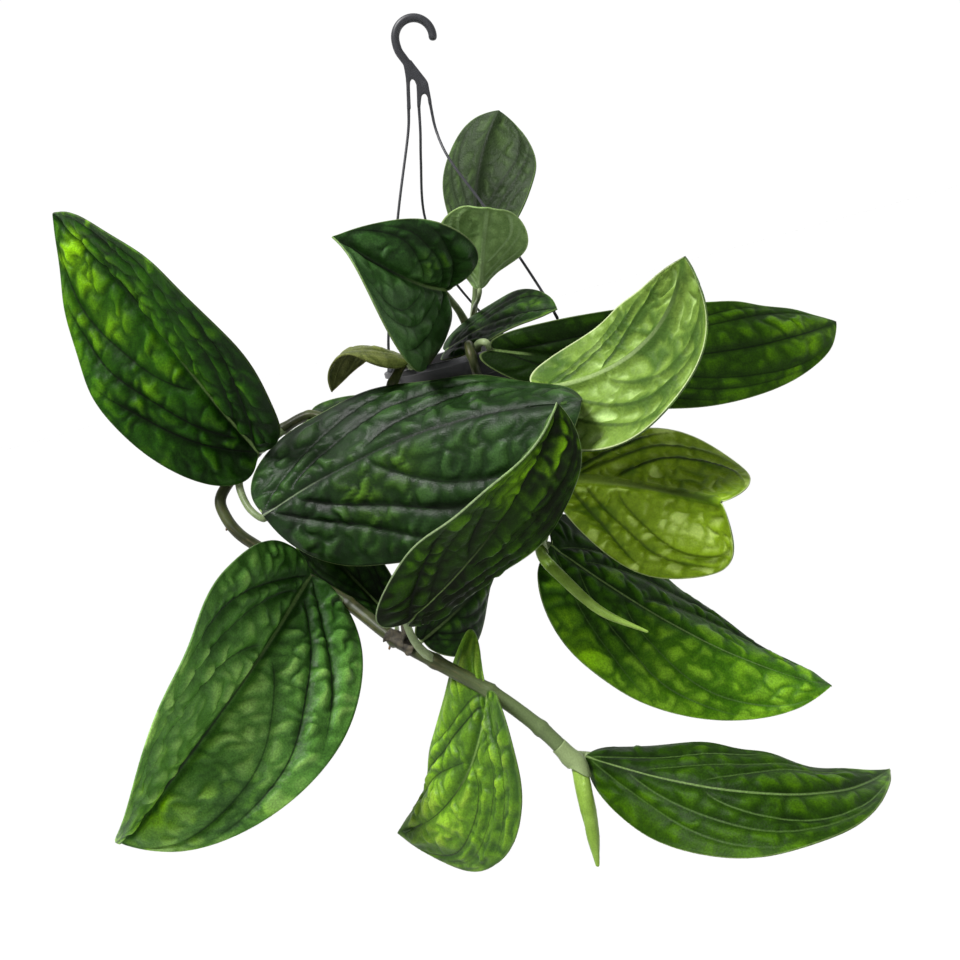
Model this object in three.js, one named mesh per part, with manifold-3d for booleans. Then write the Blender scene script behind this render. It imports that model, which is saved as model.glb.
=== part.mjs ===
// Potted Monstera karstenianum in a hanging nursery pot.
// Millimetres, +Z up. The origin is the inner top of the hook, where the pot hangs.
// The front of the plant faces -Y.

import * as THREE from 'three';
import { mergeVertices } from 'three/addons/utils/BufferGeometryUtils.js';
import Module from 'manifold-3d';

const wasm = await Module();
wasm.setup();

// Driving dimensions
const GAP = 0.3;

const POT_AXIS = new THREE.Vector3(-7, 0, 0);
const RIM_TOP = -180;
const RIM_RADIUS = 60;
const POT_HEIGHT = 98;
const POT_BASE_RADIUS = 44.5;
const POT_WALL = 1.2;
const POT_WALL_TOP_RADIUS = 55.2;
const FLANGE_THICKNESS = 1.4;
const LIP_DEPTH = 3.2;
const FOOT_RING_DEPTH = 1.6;
const DRAIN_HOLE_RADIUS = 3.5;
const DRAIN_HOLE_COUNT = 6;
const DRAIN_HOLE_CIRCLE = 30;

const SLOT_CIRCLE = 56.95;
const SLOT_LENGTH = 5.2;
const SLOT_WIDTH = 2.2;
const SLOT_ANGLES = { left: 196, right: 316, back: 76 };

const SOIL_BELOW_RIM = 12;
const SOIL_LUMP = 1.4;

const HOOK_INNER_RADIUS = 8;
const HOOK_ROD_RADIUS = 2.35;
const WEB_THICKNESS = 2.8;
const STRAND_RADIUS = 0.9;

const BLADE_THICKNESS = 1.0;
const STALK_SIDES = 6;
const STEM_SIDES = 8;

const vec = ([x, y, z]) => new THREE.Vector3(x, y, z);
const radians = THREE.MathUtils.degToRad;

// Solids: a closed mesh from any geometry, and back
function solidFrom(geometry) {
  const plain = geometry.clone();
  plain.deleteAttribute('normal');
  plain.deleteAttribute('uv');
  const merged = mergeVertices(plain, 1e-4);
  const index = merged.getIndex().array;
  const position = merged.getAttribute('position');
  const corners = [0, 1, 2].map(() => new THREE.Vector3());
  const triangles = [];
  let volume = 0;
  for (let i = 0; i < index.length; i += 3) {
    const [a, b, c] = [index[i], index[i + 1], index[i + 2]];
    if (a === b || b === c || c === a) continue;
    triangles.push([a, b, c]);
    [a, b, c].forEach((vertex, k) => corners[k].fromBufferAttribute(position, vertex));
    volume += corners[0].dot(corners[1].clone().cross(corners[2]));
  }
  const outward = volume > 0 ? triangles : triangles.map(([a, b, c]) => [a, c, b]);
  return new wasm.Manifold(new wasm.Mesh({
    numProp: 3,
    vertProperties: new Float32Array(position.array),
    triVerts: new Uint32Array(outward.flat()),
  }));
}

function geometryFrom(solid) {
  const mesh = solid.getMesh();
  const geometry = new THREE.BufferGeometry();
  geometry.setAttribute('position', new THREE.Float32BufferAttribute(mesh.vertProperties, 3));
  geometry.setIndex(Array.from(mesh.triVerts));
  geometry.computeVertexNormals();
  return geometry;
}

const join = (solids) => solids.reduce((whole, piece) => whole.add(piece));
const cut = (solid, tools) => tools.reduce((rest, tool) => rest.subtract(tool), solid);
const largest = (pieces) => pieces.reduce((a, b) => (b.volume() > a.volume() ? b : a));

// A round rod along a smooth curve, with a radius for every place on the way
function rod(points, radiusAt, { step = 7, sides = STEM_SIDES, grow = 0 } = {}) {
  const curve = new THREE.CatmullRomCurve3(points);
  const steps = Math.max(2, Math.round(curve.getLength() / step));
  const circle = new THREE.Shape();
  for (let k = 0; k < sides; k++) {
    const angle = (2 * Math.PI * k) / sides;
    const place = [Math.cos(angle), Math.sin(angle)];
    if (k === 0) circle.moveTo(...place);
    else circle.lineTo(...place);
  }
  const geometry = new THREE.ExtrudeGeometry(circle, { steps, extrudePath: curve });
  const centres = curve.getSpacedPoints(steps);
  const position = geometry.getAttribute('position');
  const corner = new THREE.Vector3();
  for (let i = 0; i < position.count; i++) {
    corner.fromBufferAttribute(position, i);
    let nearest = 0;
    centres.forEach((centre, k) => {
      if (corner.distanceTo(centre) < corner.distanceTo(centres[nearest])) nearest = k;
    });
    const radius = radiusAt(nearest / steps, nearest) + grow;
    corner.sub(centres[nearest]).multiplyScalar(radius).add(centres[nearest]);
    position.setXYZ(i, corner.x, corner.y, corner.z);
  }
  return solidFrom(geometry);
}

const taper = (start, end) => (place) => start + (end - start) * place;

// A body turned round the vertical axis from a profile of [radius, height] pairs
function turned(profile, segments) {
  const points = profile.map(([radius, height]) => new THREE.Vector2(radius, height));
  return new THREE.LatheGeometry(points, segments).rotateX(Math.PI / 2);
}

// A place on the circle of the hanger slots, with its outward direction turned to +X
function atSlot(geometry, angle) {
  return geometry.clone().translate(SLOT_CIRCLE, 0, 0).rotateZ(radians(angle));
}

// Pot: thin tapered wall, flat flange with a small lip, slots for the hanger, drain holes
const POT_INNER_TOP = POT_WALL_TOP_RADIUS - POT_WALL;
const POT_INNER_BASE = POT_BASE_RADIUS - POT_WALL;
const POT_FLOOR = -POT_HEIGHT + FOOT_RING_DEPTH + POT_WALL;

function makePot() {
  const wall = POT_WALL_TOP_RADIUS;
  const lipInner = RIM_RADIUS - POT_WALL;
  const body = solidFrom(turned([
    [0, -POT_HEIGHT + FOOT_RING_DEPTH],
    [POT_BASE_RADIUS - 6, -POT_HEIGHT + FOOT_RING_DEPTH],
    [POT_BASE_RADIUS - 5, -POT_HEIGHT],
    [POT_BASE_RADIUS - 1, -POT_HEIGHT],
    [POT_BASE_RADIUS, -POT_HEIGHT + 1],
    [wall, -FLANGE_THICKNESS],
    [lipInner, -FLANGE_THICKNESS],
    [lipInner, -LIP_DEPTH],
    [RIM_RADIUS, -LIP_DEPTH],
    [RIM_RADIUS, -0.7],
    [RIM_RADIUS - 0.7, 0],
    [POT_INNER_TOP + 0.7, 0],
    [POT_INNER_TOP, -0.7],
    [POT_INNER_BASE, POT_FLOOR],
    [0, POT_FLOOR],
  ], 48));
  const slot = new THREE.BoxGeometry(SLOT_WIDTH, SLOT_LENGTH, 3 * FLANGE_THICKNESS);
  const slots = Object.values(SLOT_ANGLES).map((angle) => solidFrom(atSlot(slot, angle)));
  const drains = [];
  for (let k = 0; k < DRAIN_HOLE_COUNT; k++) {
    const drain = new THREE.CylinderGeometry(DRAIN_HOLE_RADIUS, DRAIN_HOLE_RADIUS, 10, 12);
    drain.rotateX(Math.PI / 2).translate(DRAIN_HOLE_CIRCLE, 0, -POT_HEIGHT);
    drain.rotateZ((2 * Math.PI * k) / DRAIN_HOLE_COUNT);
    drains.push(solidFrom(drain));
  }
  return cut(body, [...slots, ...drains]);
}

// Hanger: open hook, neck, web with two arches, three strands, a barbed foot on each
const HOOK_CENTRE = [0, -HOOK_INNER_RADIUS];
const HOOK_ARC_RADIUS = HOOK_INNER_RADIUS + HOOK_ROD_RADIUS;
const HOOK_END_ANGLE = -24;
const HOOK_NECK_ANGLE = 176;
const FOOT_TOP = RIM_TOP + 4.6;

function slotPlace(name, height) {
  const angle = radians(SLOT_ANGLES[name]);
  const x = POT_AXIS.x + SLOT_CIRCLE * Math.cos(angle);
  const y = POT_AXIS.y + SLOT_CIRCLE * Math.sin(angle);
  return new THREE.Vector3(x, y, height);
}

function makeHook() {
  const points = [];
  for (let angle = HOOK_END_ANGLE; angle <= HOOK_NECK_ANGLE; angle += 20) {
    const x = HOOK_CENTRE[0] + HOOK_ARC_RADIUS * Math.cos(radians(angle));
    const z = HOOK_CENTRE[1] + HOOK_ARC_RADIUS * Math.sin(radians(angle));
    points.push(new THREE.Vector3(x, 0, z));
  }
  [[-10.1, -12.6], [-8.6, -16.6], [-7, -20.5], [-5.6, -24.5]].forEach(([x, z]) => {
    points.push(new THREE.Vector3(x, 0, z));
  });
  const blunt = (place) => HOOK_ROD_RADIUS * (place < 0.01 ? 0.6 : 1);
  return rod(points, blunt, { step: 2.6, sides: 12 });
}

function makeWeb() {
  const web = new THREE.Shape();
  web.moveTo(-9.5, -20);
  web.lineTo(-4.3, -20);
  web.lineTo(0.6, -31);
  web.quadraticCurveTo(1.4, -33, 0.9, -35);
  web.lineTo(0.2, -43.5);
  web.lineTo(-1.8, -43.5);
  web.lineTo(-1.2, -39.6);
  web.quadraticCurveTo(-2.8, -35.8, -4.8, -39.8);
  web.lineTo(-6.2, -43.5);
  web.lineTo(-8.4, -43.5);
  web.lineTo(-5.2, -32);
  web.quadraticCurveTo(-6.8, -25.6, -9, -31.2);
  web.lineTo(-11.8, -43.5);
  web.lineTo(-14, -43.5);
  web.lineTo(-12, -35);
  web.quadraticCurveTo(-10.2, -27, -9.8, -23.6);
  const plate = new THREE.ExtrudeGeometry(web, {
    depth: WEB_THICKNESS,
    bevelEnabled: false,
    curveSegments: 4,
  });
  return solidFrom(plate.rotateX(Math.PI / 2).translate(0, WEB_THICKNESS / 2, 0));
}

const STRAND_ROUTES = {
  left: [[-12.4, 0, -40], [-13.6, 0, -45], [-16, 0, -53], [-34.5, -9, -97.5], [-58.5, -15, -162]],
  right: [[-0.6, 0, -40], [-0.9, 0, -45], [-1.5, 0, -57], [0.5, -7, -73.5], [12, -17, -105],
    [23, -27, -137], [31.5, -36, -165]],
  back: [[-6.2, 0, -39], [-7.6, 0, -45], [-10, 1, -56], [-14, 6, -71], [-20, 18, -99],
    [-17, 32, -128], [-3, 48, -160]],
};

function makeStrand(name) {
  const points = [...STRAND_ROUTES[name].map(vec), slotPlace(name, FOOT_TOP - 0.6)];
  return rod(points, taper(STRAND_RADIUS, STRAND_RADIUS), { step: 13, sides: 6 });
}

// A foot: cone that rests above the flange, neck in the slot, two splayed legs below
function makeFoot(name) {
  const coneHeight = FOOT_TOP - RIM_TOP - GAP;
  const cone = new THREE.CylinderGeometry(1, 2.7, coneHeight, 12);
  cone.rotateX(Math.PI / 2).translate(0, 0, GAP + coneHeight / 2);
  const tongue = new THREE.Shape();
  tongue.moveTo(-2, 1.2);
  tongue.lineTo(2, 1.2);
  tongue.lineTo(2, -1.8);
  tongue.lineTo(3.7, -8.4);
  tongue.lineTo(2.2, -8.4);
  tongue.lineTo(0.4, -2.6);
  tongue.lineTo(-0.4, -2.6);
  tongue.lineTo(-2.2, -8.4);
  tongue.lineTo(-3.7, -8.4);
  tongue.lineTo(-2, -1.8);
  const thickness = SLOT_WIDTH - 2 * GAP - 0.1;
  const blade = new THREE.ExtrudeGeometry(tongue, { depth: thickness, bevelEnabled: false });
  blade.rotateX(Math.PI / 2).rotateZ(Math.PI / 2).translate(-thickness / 2, 0, 0);
  const place = POT_AXIS.clone().setZ(RIM_TOP);
  return join([cone, blade].map((geometry) => (
    solidFrom(atSlot(geometry, SLOT_ANGLES[name]).translate(...place.toArray()))
  )));
}

function makeHanger() {
  const names = Object.keys(SLOT_ANGLES);
  return join([makeHook(), makeWeb(), ...names.map(makeStrand), ...names.map(makeFoot)]);
}

// Leaves. Each blade runs from base to tip with its upper face to `face`.
// rise and curl are in degrees, first at the base and then at the tip.
const LEAVES = {
  leaf_left_upper: {
    base: [-140, -52, -200], tip: [-202, -56, -56], face: [-0.44, -0.87, -0.21],
    left: { width: 49, rise: [26, 15], curl: [7, 1], lobe: 0.09 },
    right: { width: 49, rise: [16, 26], curl: [2, 7], lobe: 0.01 },
    arch: 0.14, sway: -0.07, droop: 0.17, twist: -15, round: 0.53, taper: 0.76,
  },
  leaf_left_lower: {
    base: [-128, -77, -267], tip: [-233, -155, -347], face: [0.4, -0.86, 0.31],
    left: { width: 54, rise: [-3, 21], curl: [-8, 4], lobe: 0.04 },
    right: { width: 51, rise: [25, 61], curl: [6, 29], lobe: 0.07 },
    arch: 0.17, sway: 0.01, droop: -0.04, twist: -14, round: 0.57, taper: 0.7,
  },
  leaf_centre: {
    base: [-144, -69, -231], tip: [25, -129, -210], face: [-0.33, -0.74, 0.59],
    left: { width: 47, rise: [-14, -30], curl: [-1, -9], lobe: 0.03 },
    right: { width: 60, rise: [-17, -33], curl: [-4, -10], lobe: 0 },
    arch: -0.01, sway: 0.08, droop: -0.03, twist: -40, round: 0.4, taper: 0.5,
  },
  leaf_folded_front: {
    base: [-80, -125, -291], tip: [13, -139, -207], face: [0.21, -0.9, -0.38],
    left: { width: 36, rise: [-1, 37], curl: [-7, 27], lobe: 0.13 },
    right: { width: 37, rise: [-36, 9], curl: [-23, -2], lobe: 0.07 },
    arch: 0.03, sway: -0.05, droop: -0.06, twist: 18, round: 0.6, taper: 0.65,
  },
  leaf_pale_upper: {
    base: [12, -81, -206], tip: [85, -135, -159], face: [0.7, 0.57, -0.43],
    left: { width: 42, rise: [-3, -1], curl: [1, -29], lobe: 0.09 },
    right: { width: 32, rise: [11, 6], curl: [5, -10], lobe: 0.14 },
    arch: -0.02, sway: 0.15, droop: -0.26, twist: 23, round: 0.55, taper: 0.7,
  },
  leaf_pale_lower: {
    base: [10, -86, -251], tip: [76, -134, -273], face: [0.4, 0.78, -0.48],
    left: { width: 54, rise: [31, 41], curl: [3, 20], lobe: 0.07 },
    right: { width: 42, rise: [11, 38], curl: [-1, 36], lobe: 0 },
    arch: 0.01, sway: -0.04, droop: -0.24, twist: 2, round: 0.75, taper: 0.5,
  },
  leaf_right_back: {
    base: [-4, -63, -181], tip: [188, -21, -219], face: [0.24, -0.96, 0.16],
    left: { width: 29, rise: [15, -21], curl: [3, -13], lobe: 0.04 },
    right: { width: 28, rise: [2, 3], curl: [4, 5], lobe: 0.07 },
    arch: 0.04, sway: -0.07, droop: -0.12, twist: -11, round: 0.69, taper: 0.64,
  },
  leaf_top_back: {
    base: [4, 17, -134], tip: [40, 42, -51], face: [0.25, 0.89, -0.38],
    left: { width: 35, rise: [4, 0], curl: [-15, -4], lobe: 0.04 },
    right: { width: 30, rise: [22, 24], curl: [21, 7], lobe: 0.07 },
    arch: 0.01, sway: -0.07, droop: 0.09, twist: 35, round: 0.65, taper: 0.56,
  },
  leaf_top_new: {
    base: [-2, -31, -148], tip: [11, -59, -110], face: [0.28, 0.81, 0.51],
    left: { width: 25, rise: [42, 11], curl: [15, -1], lobe: 0 },
    right: { width: 26, rise: [33, 3], curl: [11, -5], lobe: 0.05 },
    arch: 0.03, sway: -0.01, droop: -0.02, twist: 0, round: 0.64, taper: 0.66,
    small: true,
  },
  leaf_top_front: {
    base: [-20, -40, -145], tip: [-67, -89, -106], face: [0.67, -0.73, -0.12],
    left: { width: 43, rise: [-8, 35], curl: [-9, 10], lobe: 0.08 },
    right: { width: 34, rise: [37, 21], curl: [12, 4], lobe: 0.08 },
    arch: 0.1, sway: 0.09, droop: -0.05, twist: 36, round: 0.47, taper: 0.85,
  },
  leaf_top_right: {
    base: [-29, -16, -176], tip: [33, -54, -169], face: [-0.28, -0.3, 0.91],
    left: { width: 23, rise: [4, 14], curl: [-4, 1], lobe: 0.07 },
    right: { width: 22, rise: [-3, 7], curl: [-7, -2], lobe: 0.07 },
    arch: 0.05, sway: 0.05, droop: -0.02, twist: 0, round: 0.57, taper: 0.75,
    small: true,
  },
  leaf_top_left: {
    base: [-49, -46, -174], tip: [-94, -47, -180], face: [-0.14, 0.17, 0.98],
    left: { width: 21, rise: [-1, -10], curl: [-55, -8], lobe: 0.05 },
    right: { width: 19, rise: [-15, -9], curl: [-13, -10], lobe: 0.07 },
    arch: 0.24, sway: 0.02, droop: -0.3, twist: 61, round: 0.59, taper: 0.75,
    small: true,
  },
  leaf_rim_left: {
    base: [-109, -33, -191], tip: [-61, -46, -204], face: [-0.03, -0.73, 0.69],
    left: { width: 15, rise: [6, 7], curl: [-3, -3], lobe: 0.07 },
    right: { width: 17, rise: [13, -9], curl: [1, -10], lobe: 0.07 },
    arch: 0.01, sway: -0.01, droop: 0.03, twist: 16, round: 0.57, taper: 0.8,
    small: true,
  },
  leaf_right_lower: {
    base: [-3, -75, -286], tip: [115, -108, -388], face: [0.22, -0.82, 0.53],
    left: { width: 46, rise: [-19, -41], curl: [-14, -27], lobe: 0.07 },
    right: { width: 47, rise: [10, -10], curl: [-1, -11], lobe: 0.02 },
    arch: -0.01, sway: -0.02, droop: 0.17, twist: -1, round: 0.44, taper: 0.69,
  },
  leaf_bottom_right: {
    base: [-16, -121, -383], tip: [131, -120, -434], face: [0.17, -0.87, 0.46],
    left: { width: 31, rise: [-46, -18], curl: [-30, -16], lobe: 0.02 },
    right: { width: 30, rise: [-7, 40], curl: [-8, 35], lobe: 0 },
    arch: 0.28, sway: -0.11, droop: -0.02, twist: -38, round: 0.51, taper: 1.01,
  },
  leaf_bottom: {
    base: [-55, -119, -338], tip: [-121, -99, -407], face: [-0.54, -0.79, 0.28],
    left: { width: 41, rise: [26, -13], curl: [15, -12], lobe: 0.04 },
    right: { width: 33, rise: [7, -34], curl: [-7, -25], lobe: 0.35 },
    arch: 0.04, sway: 0.17, droop: -0.04, twist: -13, round: 0.48, taper: 0.71,
  },
  leaf_shade_right: {
    base: [-80, -92, -312], tip: [-32, -58, -294], face: [0.53, -0.83, 0.15],
    left: { width: 20, rise: [31, 8], curl: [10, -2], lobe: 0.07 },
    right: { width: 22, rise: [15, -38], curl: [2, -25], lobe: 0.02 },
    arch: 0.04, sway: -0.02, droop: 0.02, twist: 22, round: 0.56, taper: 0.85,
    small: true,
  },
  leaf_shade_left: {
    base: [-96, -61, -305], tip: [-135, -30, -244], face: [-0.04, -0.9, 0.43],
    left: { width: 20, rise: [43, 15], curl: [16, 1], lobe: 0.06 },
    right: { width: 19, rise: [19, 16], curl: [4, 2], lobe: 0.07 },
    arch: 0.04, sway: 0, droop: 0, twist: -18, round: 0.58, taper: 0.81,
    small: true,
  },
};

const STATIONS = [0, 0.02, 0.07, 0.15, 0.26, 0.39, 0.53, 0.68, 0.82, 0.93, 1];
const SMALL_STATIONS = [0, 0.03, 0.12, 0.26, 0.43, 0.62, 0.8, 0.93, 1];
const LOBE_POWER = 1.7;
const RELIEF = [-0.7, 0.6, -0.5, 0.6, 0];
const SMALL_RELIEF = [-0.5, 0.4, 0.4, 0];

// The midrib at x, from 0 at the base to 1 at the tip
function midribPoint(leaf, x) {
  const { base, chord, length, up, side } = leaf.axes;
  const bow = 4 * x * (1 - x) * length;
  const lift = bow * leaf.arch + leaf.droop * length * (x ** 4 - x);
  return base.clone()
    .addScaledVector(chord, length * x)
    .addScaledVector(up, lift)
    .addScaledVector(side, bow * leaf.sway);
}

function leafAxes(leaf) {
  const base = vec(leaf.base);
  const chord = vec(leaf.tip).sub(base);
  const length = chord.length();
  chord.normalize();
  const up = vec(leaf.face);
  up.addScaledVector(chord, -up.dot(chord)).normalize();
  const side = up.clone().cross(chord);
  return { base, chord, length, up, side };
}

// Directions at x: along the midrib, out of the upper face, to the left margin
function midribFrame(leaf, x) {
  const reach = 1e-4;
  const along = midribPoint(leaf, x + reach).sub(midribPoint(leaf, x - reach)).normalize();
  const up = leaf.axes.up.clone();
  up.addScaledVector(along, -up.dot(along)).normalize();
  const side = up.clone().cross(along);
  const turn = radians(leaf.twist) * (x - 0.5);
  const upTurned = up.clone().multiplyScalar(Math.cos(turn)).addScaledVector(side, -Math.sin(turn));
  const sideTurned = side.multiplyScalar(Math.cos(turn)).addScaledVector(up, Math.sin(turn));
  return { along, up: upTurned, side: sideTurned };
}

// Share of the full half-width at x: zero at both ends, one at the widest place
function halfWidth(leaf, x) {
  const peak = leaf.round / (leaf.round + leaf.taper);
  const top = peak ** leaf.round * (1 - peak) ** leaf.taper;
  return (x ** leaf.round * (1 - x) ** leaf.taper) / top;
}

// A place on the upper face; v is -1 on the left margin and 1 on the right one
function bladePoint(leaf, x, v) {
  const half = v < 0 ? leaf.left : leaf.right;
  const { along, up, side } = midribFrame(leaf, x);
  const out = Math.abs(v);
  const rise = radians(half.rise[0] + (half.rise[1] - half.rise[0]) * x);
  const bend = radians(half.curl[0] + (half.curl[1] - half.curl[0]) * x) || 1e-3;
  const across = (Math.sin(rise + bend * out) - Math.sin(rise)) / bend;
  const height = (Math.cos(rise) - Math.cos(rise + bend * out)) / bend;
  const width = half.width * halfWidth(leaf, x);
  const t = x ** (1 / LOBE_POWER);
  const lobe = (half.lobe * out * leaf.axes.length * t * (1 - t) ** 5) / 0.067;
  return midribPoint(leaf, x)
    .addScaledVector(along, -lobe)
    .addScaledVector(side, (v < 0 ? 1 : -1) * across * width)
    .addScaledVector(up, height * width);
}

function bladeNormal(leaf, x, v) {
  if (x < 0.001 || x > 0.999) return midribFrame(leaf, x).up;
  const reach = 0.01;
  const across = bladePoint(leaf, x, Math.min(1, v + reach))
    .sub(bladePoint(leaf, x, Math.max(-1, v - reach)));
  const along = bladePoint(leaf, Math.min(0.999, x + reach), v)
    .sub(bladePoint(leaf, Math.max(0.001, x - reach), v));
  return across.cross(along).normalize();
}

// Blade solid; grow thickens it on both faces to leave room for it in a neighbour
function makeBlade(leaf, grow = 0) {
  const stations = leaf.small ? SMALL_STATIONS : STATIONS;
  const relief = leaf.small ? SMALL_RELIEF : RELIEF;
  const halfColumns = relief.length - 1;
  const rows = stations.length - 1;
  const sheet = new THREE.PlaneGeometry(2, 1, 2 * halfColumns, rows);
  const place = sheet.getAttribute('position');
  const upper = [];
  const lower = [];
  for (let i = 0; i < place.count; i++) {
    const v = place.getX(i);
    const row = Math.round((0.5 - place.getY(i)) * rows);
    const x = stations[row];
    const column = Math.round(Math.abs(v) * halfColumns);
    const bump = relief[column] * Math.min(1, halfWidth(leaf, x));
    const point = bladePoint(leaf, x, v);
    const normal = bladeNormal(leaf, x, v);
    const { along, side } = midribFrame(leaf, x);
    if (row === 0) point.addScaledVector(along, -2 * grow);
    else if (row < rows && Math.abs(v) > 0.99) point.addScaledVector(side, -v * 2 * grow);
    upper.push(point.clone().addScaledVector(normal, bump + grow));
    lower.push(point.clone().addScaledVector(normal, bump - BLADE_THICKNESS - grow));
  }
  const faces = Array.from(sheet.getIndex().array);
  const index = [];
  for (let i = 0; i < faces.length; i += 3) {
    const [a, b, c] = faces.slice(i, i + 3);
    index.push(a, c, b);
    index.push(a + place.count, b + place.count, c + place.count);
  }
  const columns = 2 * halfColumns + 1;
  for (let row = 0; row < rows; row++) {
    const left = row * columns;
    const right = left + columns - 1;
    [[left, left + columns], [right + columns, right]].forEach(([from, to]) => {
      index.push(from, to, to + place.count);
      index.push(from, to + place.count, from + place.count);
    });
  }
  const geometry = new THREE.BufferGeometry().setFromPoints([...upper, ...lower]);
  geometry.setIndex(index);
  return solidFrom(geometry);
}

// Where a stalk ends: just inside the underside of the blade at its base
function stalkEnd(leaf) {
  const { along, up } = midribFrame(leaf, 0);
  const end = leaf.axes.base.clone()
    .addScaledVector(up, -BLADE_THICKNESS * 0.6)
    .addScaledVector(along, 0.8);
  const approach = end.clone().addScaledVector(up, -3).addScaledVector(along, -3.5);
  return [approach, end];
}

// Vines: the main stem from the soil on, and a stalk to every leaf
const NODE_EVERY = 4;
const NODE_SWELLING = 1.16;

const VINES = {
  vine_trailing: {
    stem: [[-37, -10, -206], [-39, -13, -192], [-46, -25, -180], [-53, -36, -176.4],
      [-61, -45.5, -184], [-70, -44.5, -195], [-84, -42, -200], [-96, -38, -197], [-111, -32, -190],
      [-126, -33, -193], [-144, -38, -201], [-160, -42, -211], [-168, -48, -220],
      [-167, -52, -229], [-162, -56, -239], [-152, -59, -250], [-136, -64, -267],
      [-113, -78, -287], [-93, -97, -306], [-74, -108, -321], [-53, -116, -339],
      [-34, -122, -362], [-24, -126, -378]],
    radii: [2.4, 3.8],
    stalks: [
      { leaf: 'leaf_left_upper', from: [[-126, -33, -193], [-134, -41, -197]] },
      { leaf: 'leaf_left_lower', from: [[-113, -78, -287], [-122, -77, -279]] },
      { leaf: 'leaf_centre', from: [[-144, -38, -201], [-155, -46, -211], [-153, -56, -226]] },
      { leaf: 'leaf_folded_front', from: [[-76, -107, -320], [-82, -112, -306]] },
      { leaf: 'leaf_rim_left', from: [[-111, -32, -190], [-111, -33, -193]] },
      { leaf: 'leaf_top_left', from: [[-43, -20, -184], [-43, -33, -177]] },
      { leaf: 'leaf_bottom_right', from: [[-34, -122, -362], [-25, -121, -378]] },
      { leaf: 'leaf_bottom', from: [[-53, -116, -339], [-55, -117, -340]] },
      { leaf: 'leaf_shade_right', from: [[-93, -97, -306], [-84, -94, -312]] },
      { leaf: 'leaf_shade_left', from: [[-93, -97, -306], [-93, -82, -307]] },
    ],
  },
  vine_right: {
    stem: [[-15, -38, -206], [-15, -43, -190], [-16, -50, -177], [-17, -58, -175.4],
      [-17, -63.2, -182], [-16.5, -59.5, -191], [-15, -59, -199], [-11, -66, -218], [-8, -76, -238], [-7, -81, -259],
      [-9, -86, -275]],
    radii: [2.4, 2.4],
    stalks: [
      { leaf: 'leaf_pale_upper', from: [[-11, -66, -217], [-2, -74, -215]] },
      { leaf: 'leaf_pale_lower', from: [[-8, -77, -240], [2, -82, -246]] },
      { leaf: 'leaf_right_lower', from: [[-8, -83, -266], [-5, -79, -278]] },
      { leaf: 'leaf_right_back', from: [[-16, -47, -184], [-12, -56, -176], [-8, -64, -176]] },
    ],
  },
  vine_top: {
    stem: [[-10, 18, -206], [-11, 16, -190], [-12, 14, -178], [-12, 13, -168]],
    radii: [2.6, 2.2],
    stalks: [
      { leaf: 'leaf_top_front', from: [[-12, 13, -170], [-16, -10, -157]] },
      { leaf: 'leaf_top_new', from: [[-12, 13, -172], [-8, 0, -160]] },
      { leaf: 'leaf_top_back', from: [[-12, 13, -172], [-4, 15, -152]] },
      { leaf: 'leaf_top_right', from: [[-12, 14, -182], [-26, 0, -183]] },
    ],
  },
};

function makeStem(vine, grow = 0) {
  const [start, end] = vine.radii;
  const radiusAt = (place, ring) => {
    const swelling = ring % NODE_EVERY === NODE_EVERY - 1 ? NODE_SWELLING : 1;
    return (start + (end - start) * place) * swelling;
  };
  return rod(vine.stem.map(vec), radiusAt, { step: 9, grow });
}

function makeStalk(stalk) {
  const points = [...stalk.from.map(vec), ...stalkEnd(LEAVES[stalk.leaf])];
  const thick = LEAVES[stalk.leaf].small ? 1.4 : 1.9;
  return rod(points, taper(thick, 1.2), { step: 7, sides: STALK_SIDES });
}

function makeVine(vine) {
  const whole = join([makeStem(vine), ...vine.stalks.map(makeStalk)]);
  const room = vine.stalks.map((stalk) => makeBlade(LEAVES[stalk.leaf], GAP));
  return largest(cut(whole, room).decompose());
}

// Spears: new leaves still rolled up, each out of the tip of its vine
const SPEARS = {
  spear_right: {
    vine: 'vine_right',
    route: [[-10, -95, -285], [-4, -106, -295], [9, -121, -312], [28, -133, -325]],
    radii: [2.1, 3.3, 3.2, 2.4, 0.7],
  },
  spear_bottom: {
    vine: 'vine_trailing',
    route: [[-22, -134, -397], [-23, -138, -413], [-25, -142, -430]],
    radii: [3.2, 4, 4, 3, 0.8],
  },
};
const SPEAR_NECK = 5;

function spearRoute(spear) {
  const stem = VINES[spear.vine].stem;
  const tip = vec(stem.at(-1));
  const onward = tip.clone().sub(vec(stem.at(-2))).normalize();
  const neck = [GAP, SPEAR_NECK].map((reach) => tip.clone().addScaledVector(onward, reach));
  return [...neck, ...spear.route.map(vec)];
}

function makeSpear(spear) {
  const radiusAt = (place) => {
    const at = place * (spear.radii.length - 1);
    const k = Math.min(spear.radii.length - 2, Math.floor(at));
    return spear.radii[k] + (spear.radii[k + 1] - spear.radii[k]) * (at - k);
  };
  return rod(spearRoute(spear), radiusAt, { step: 5 });
}

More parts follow.
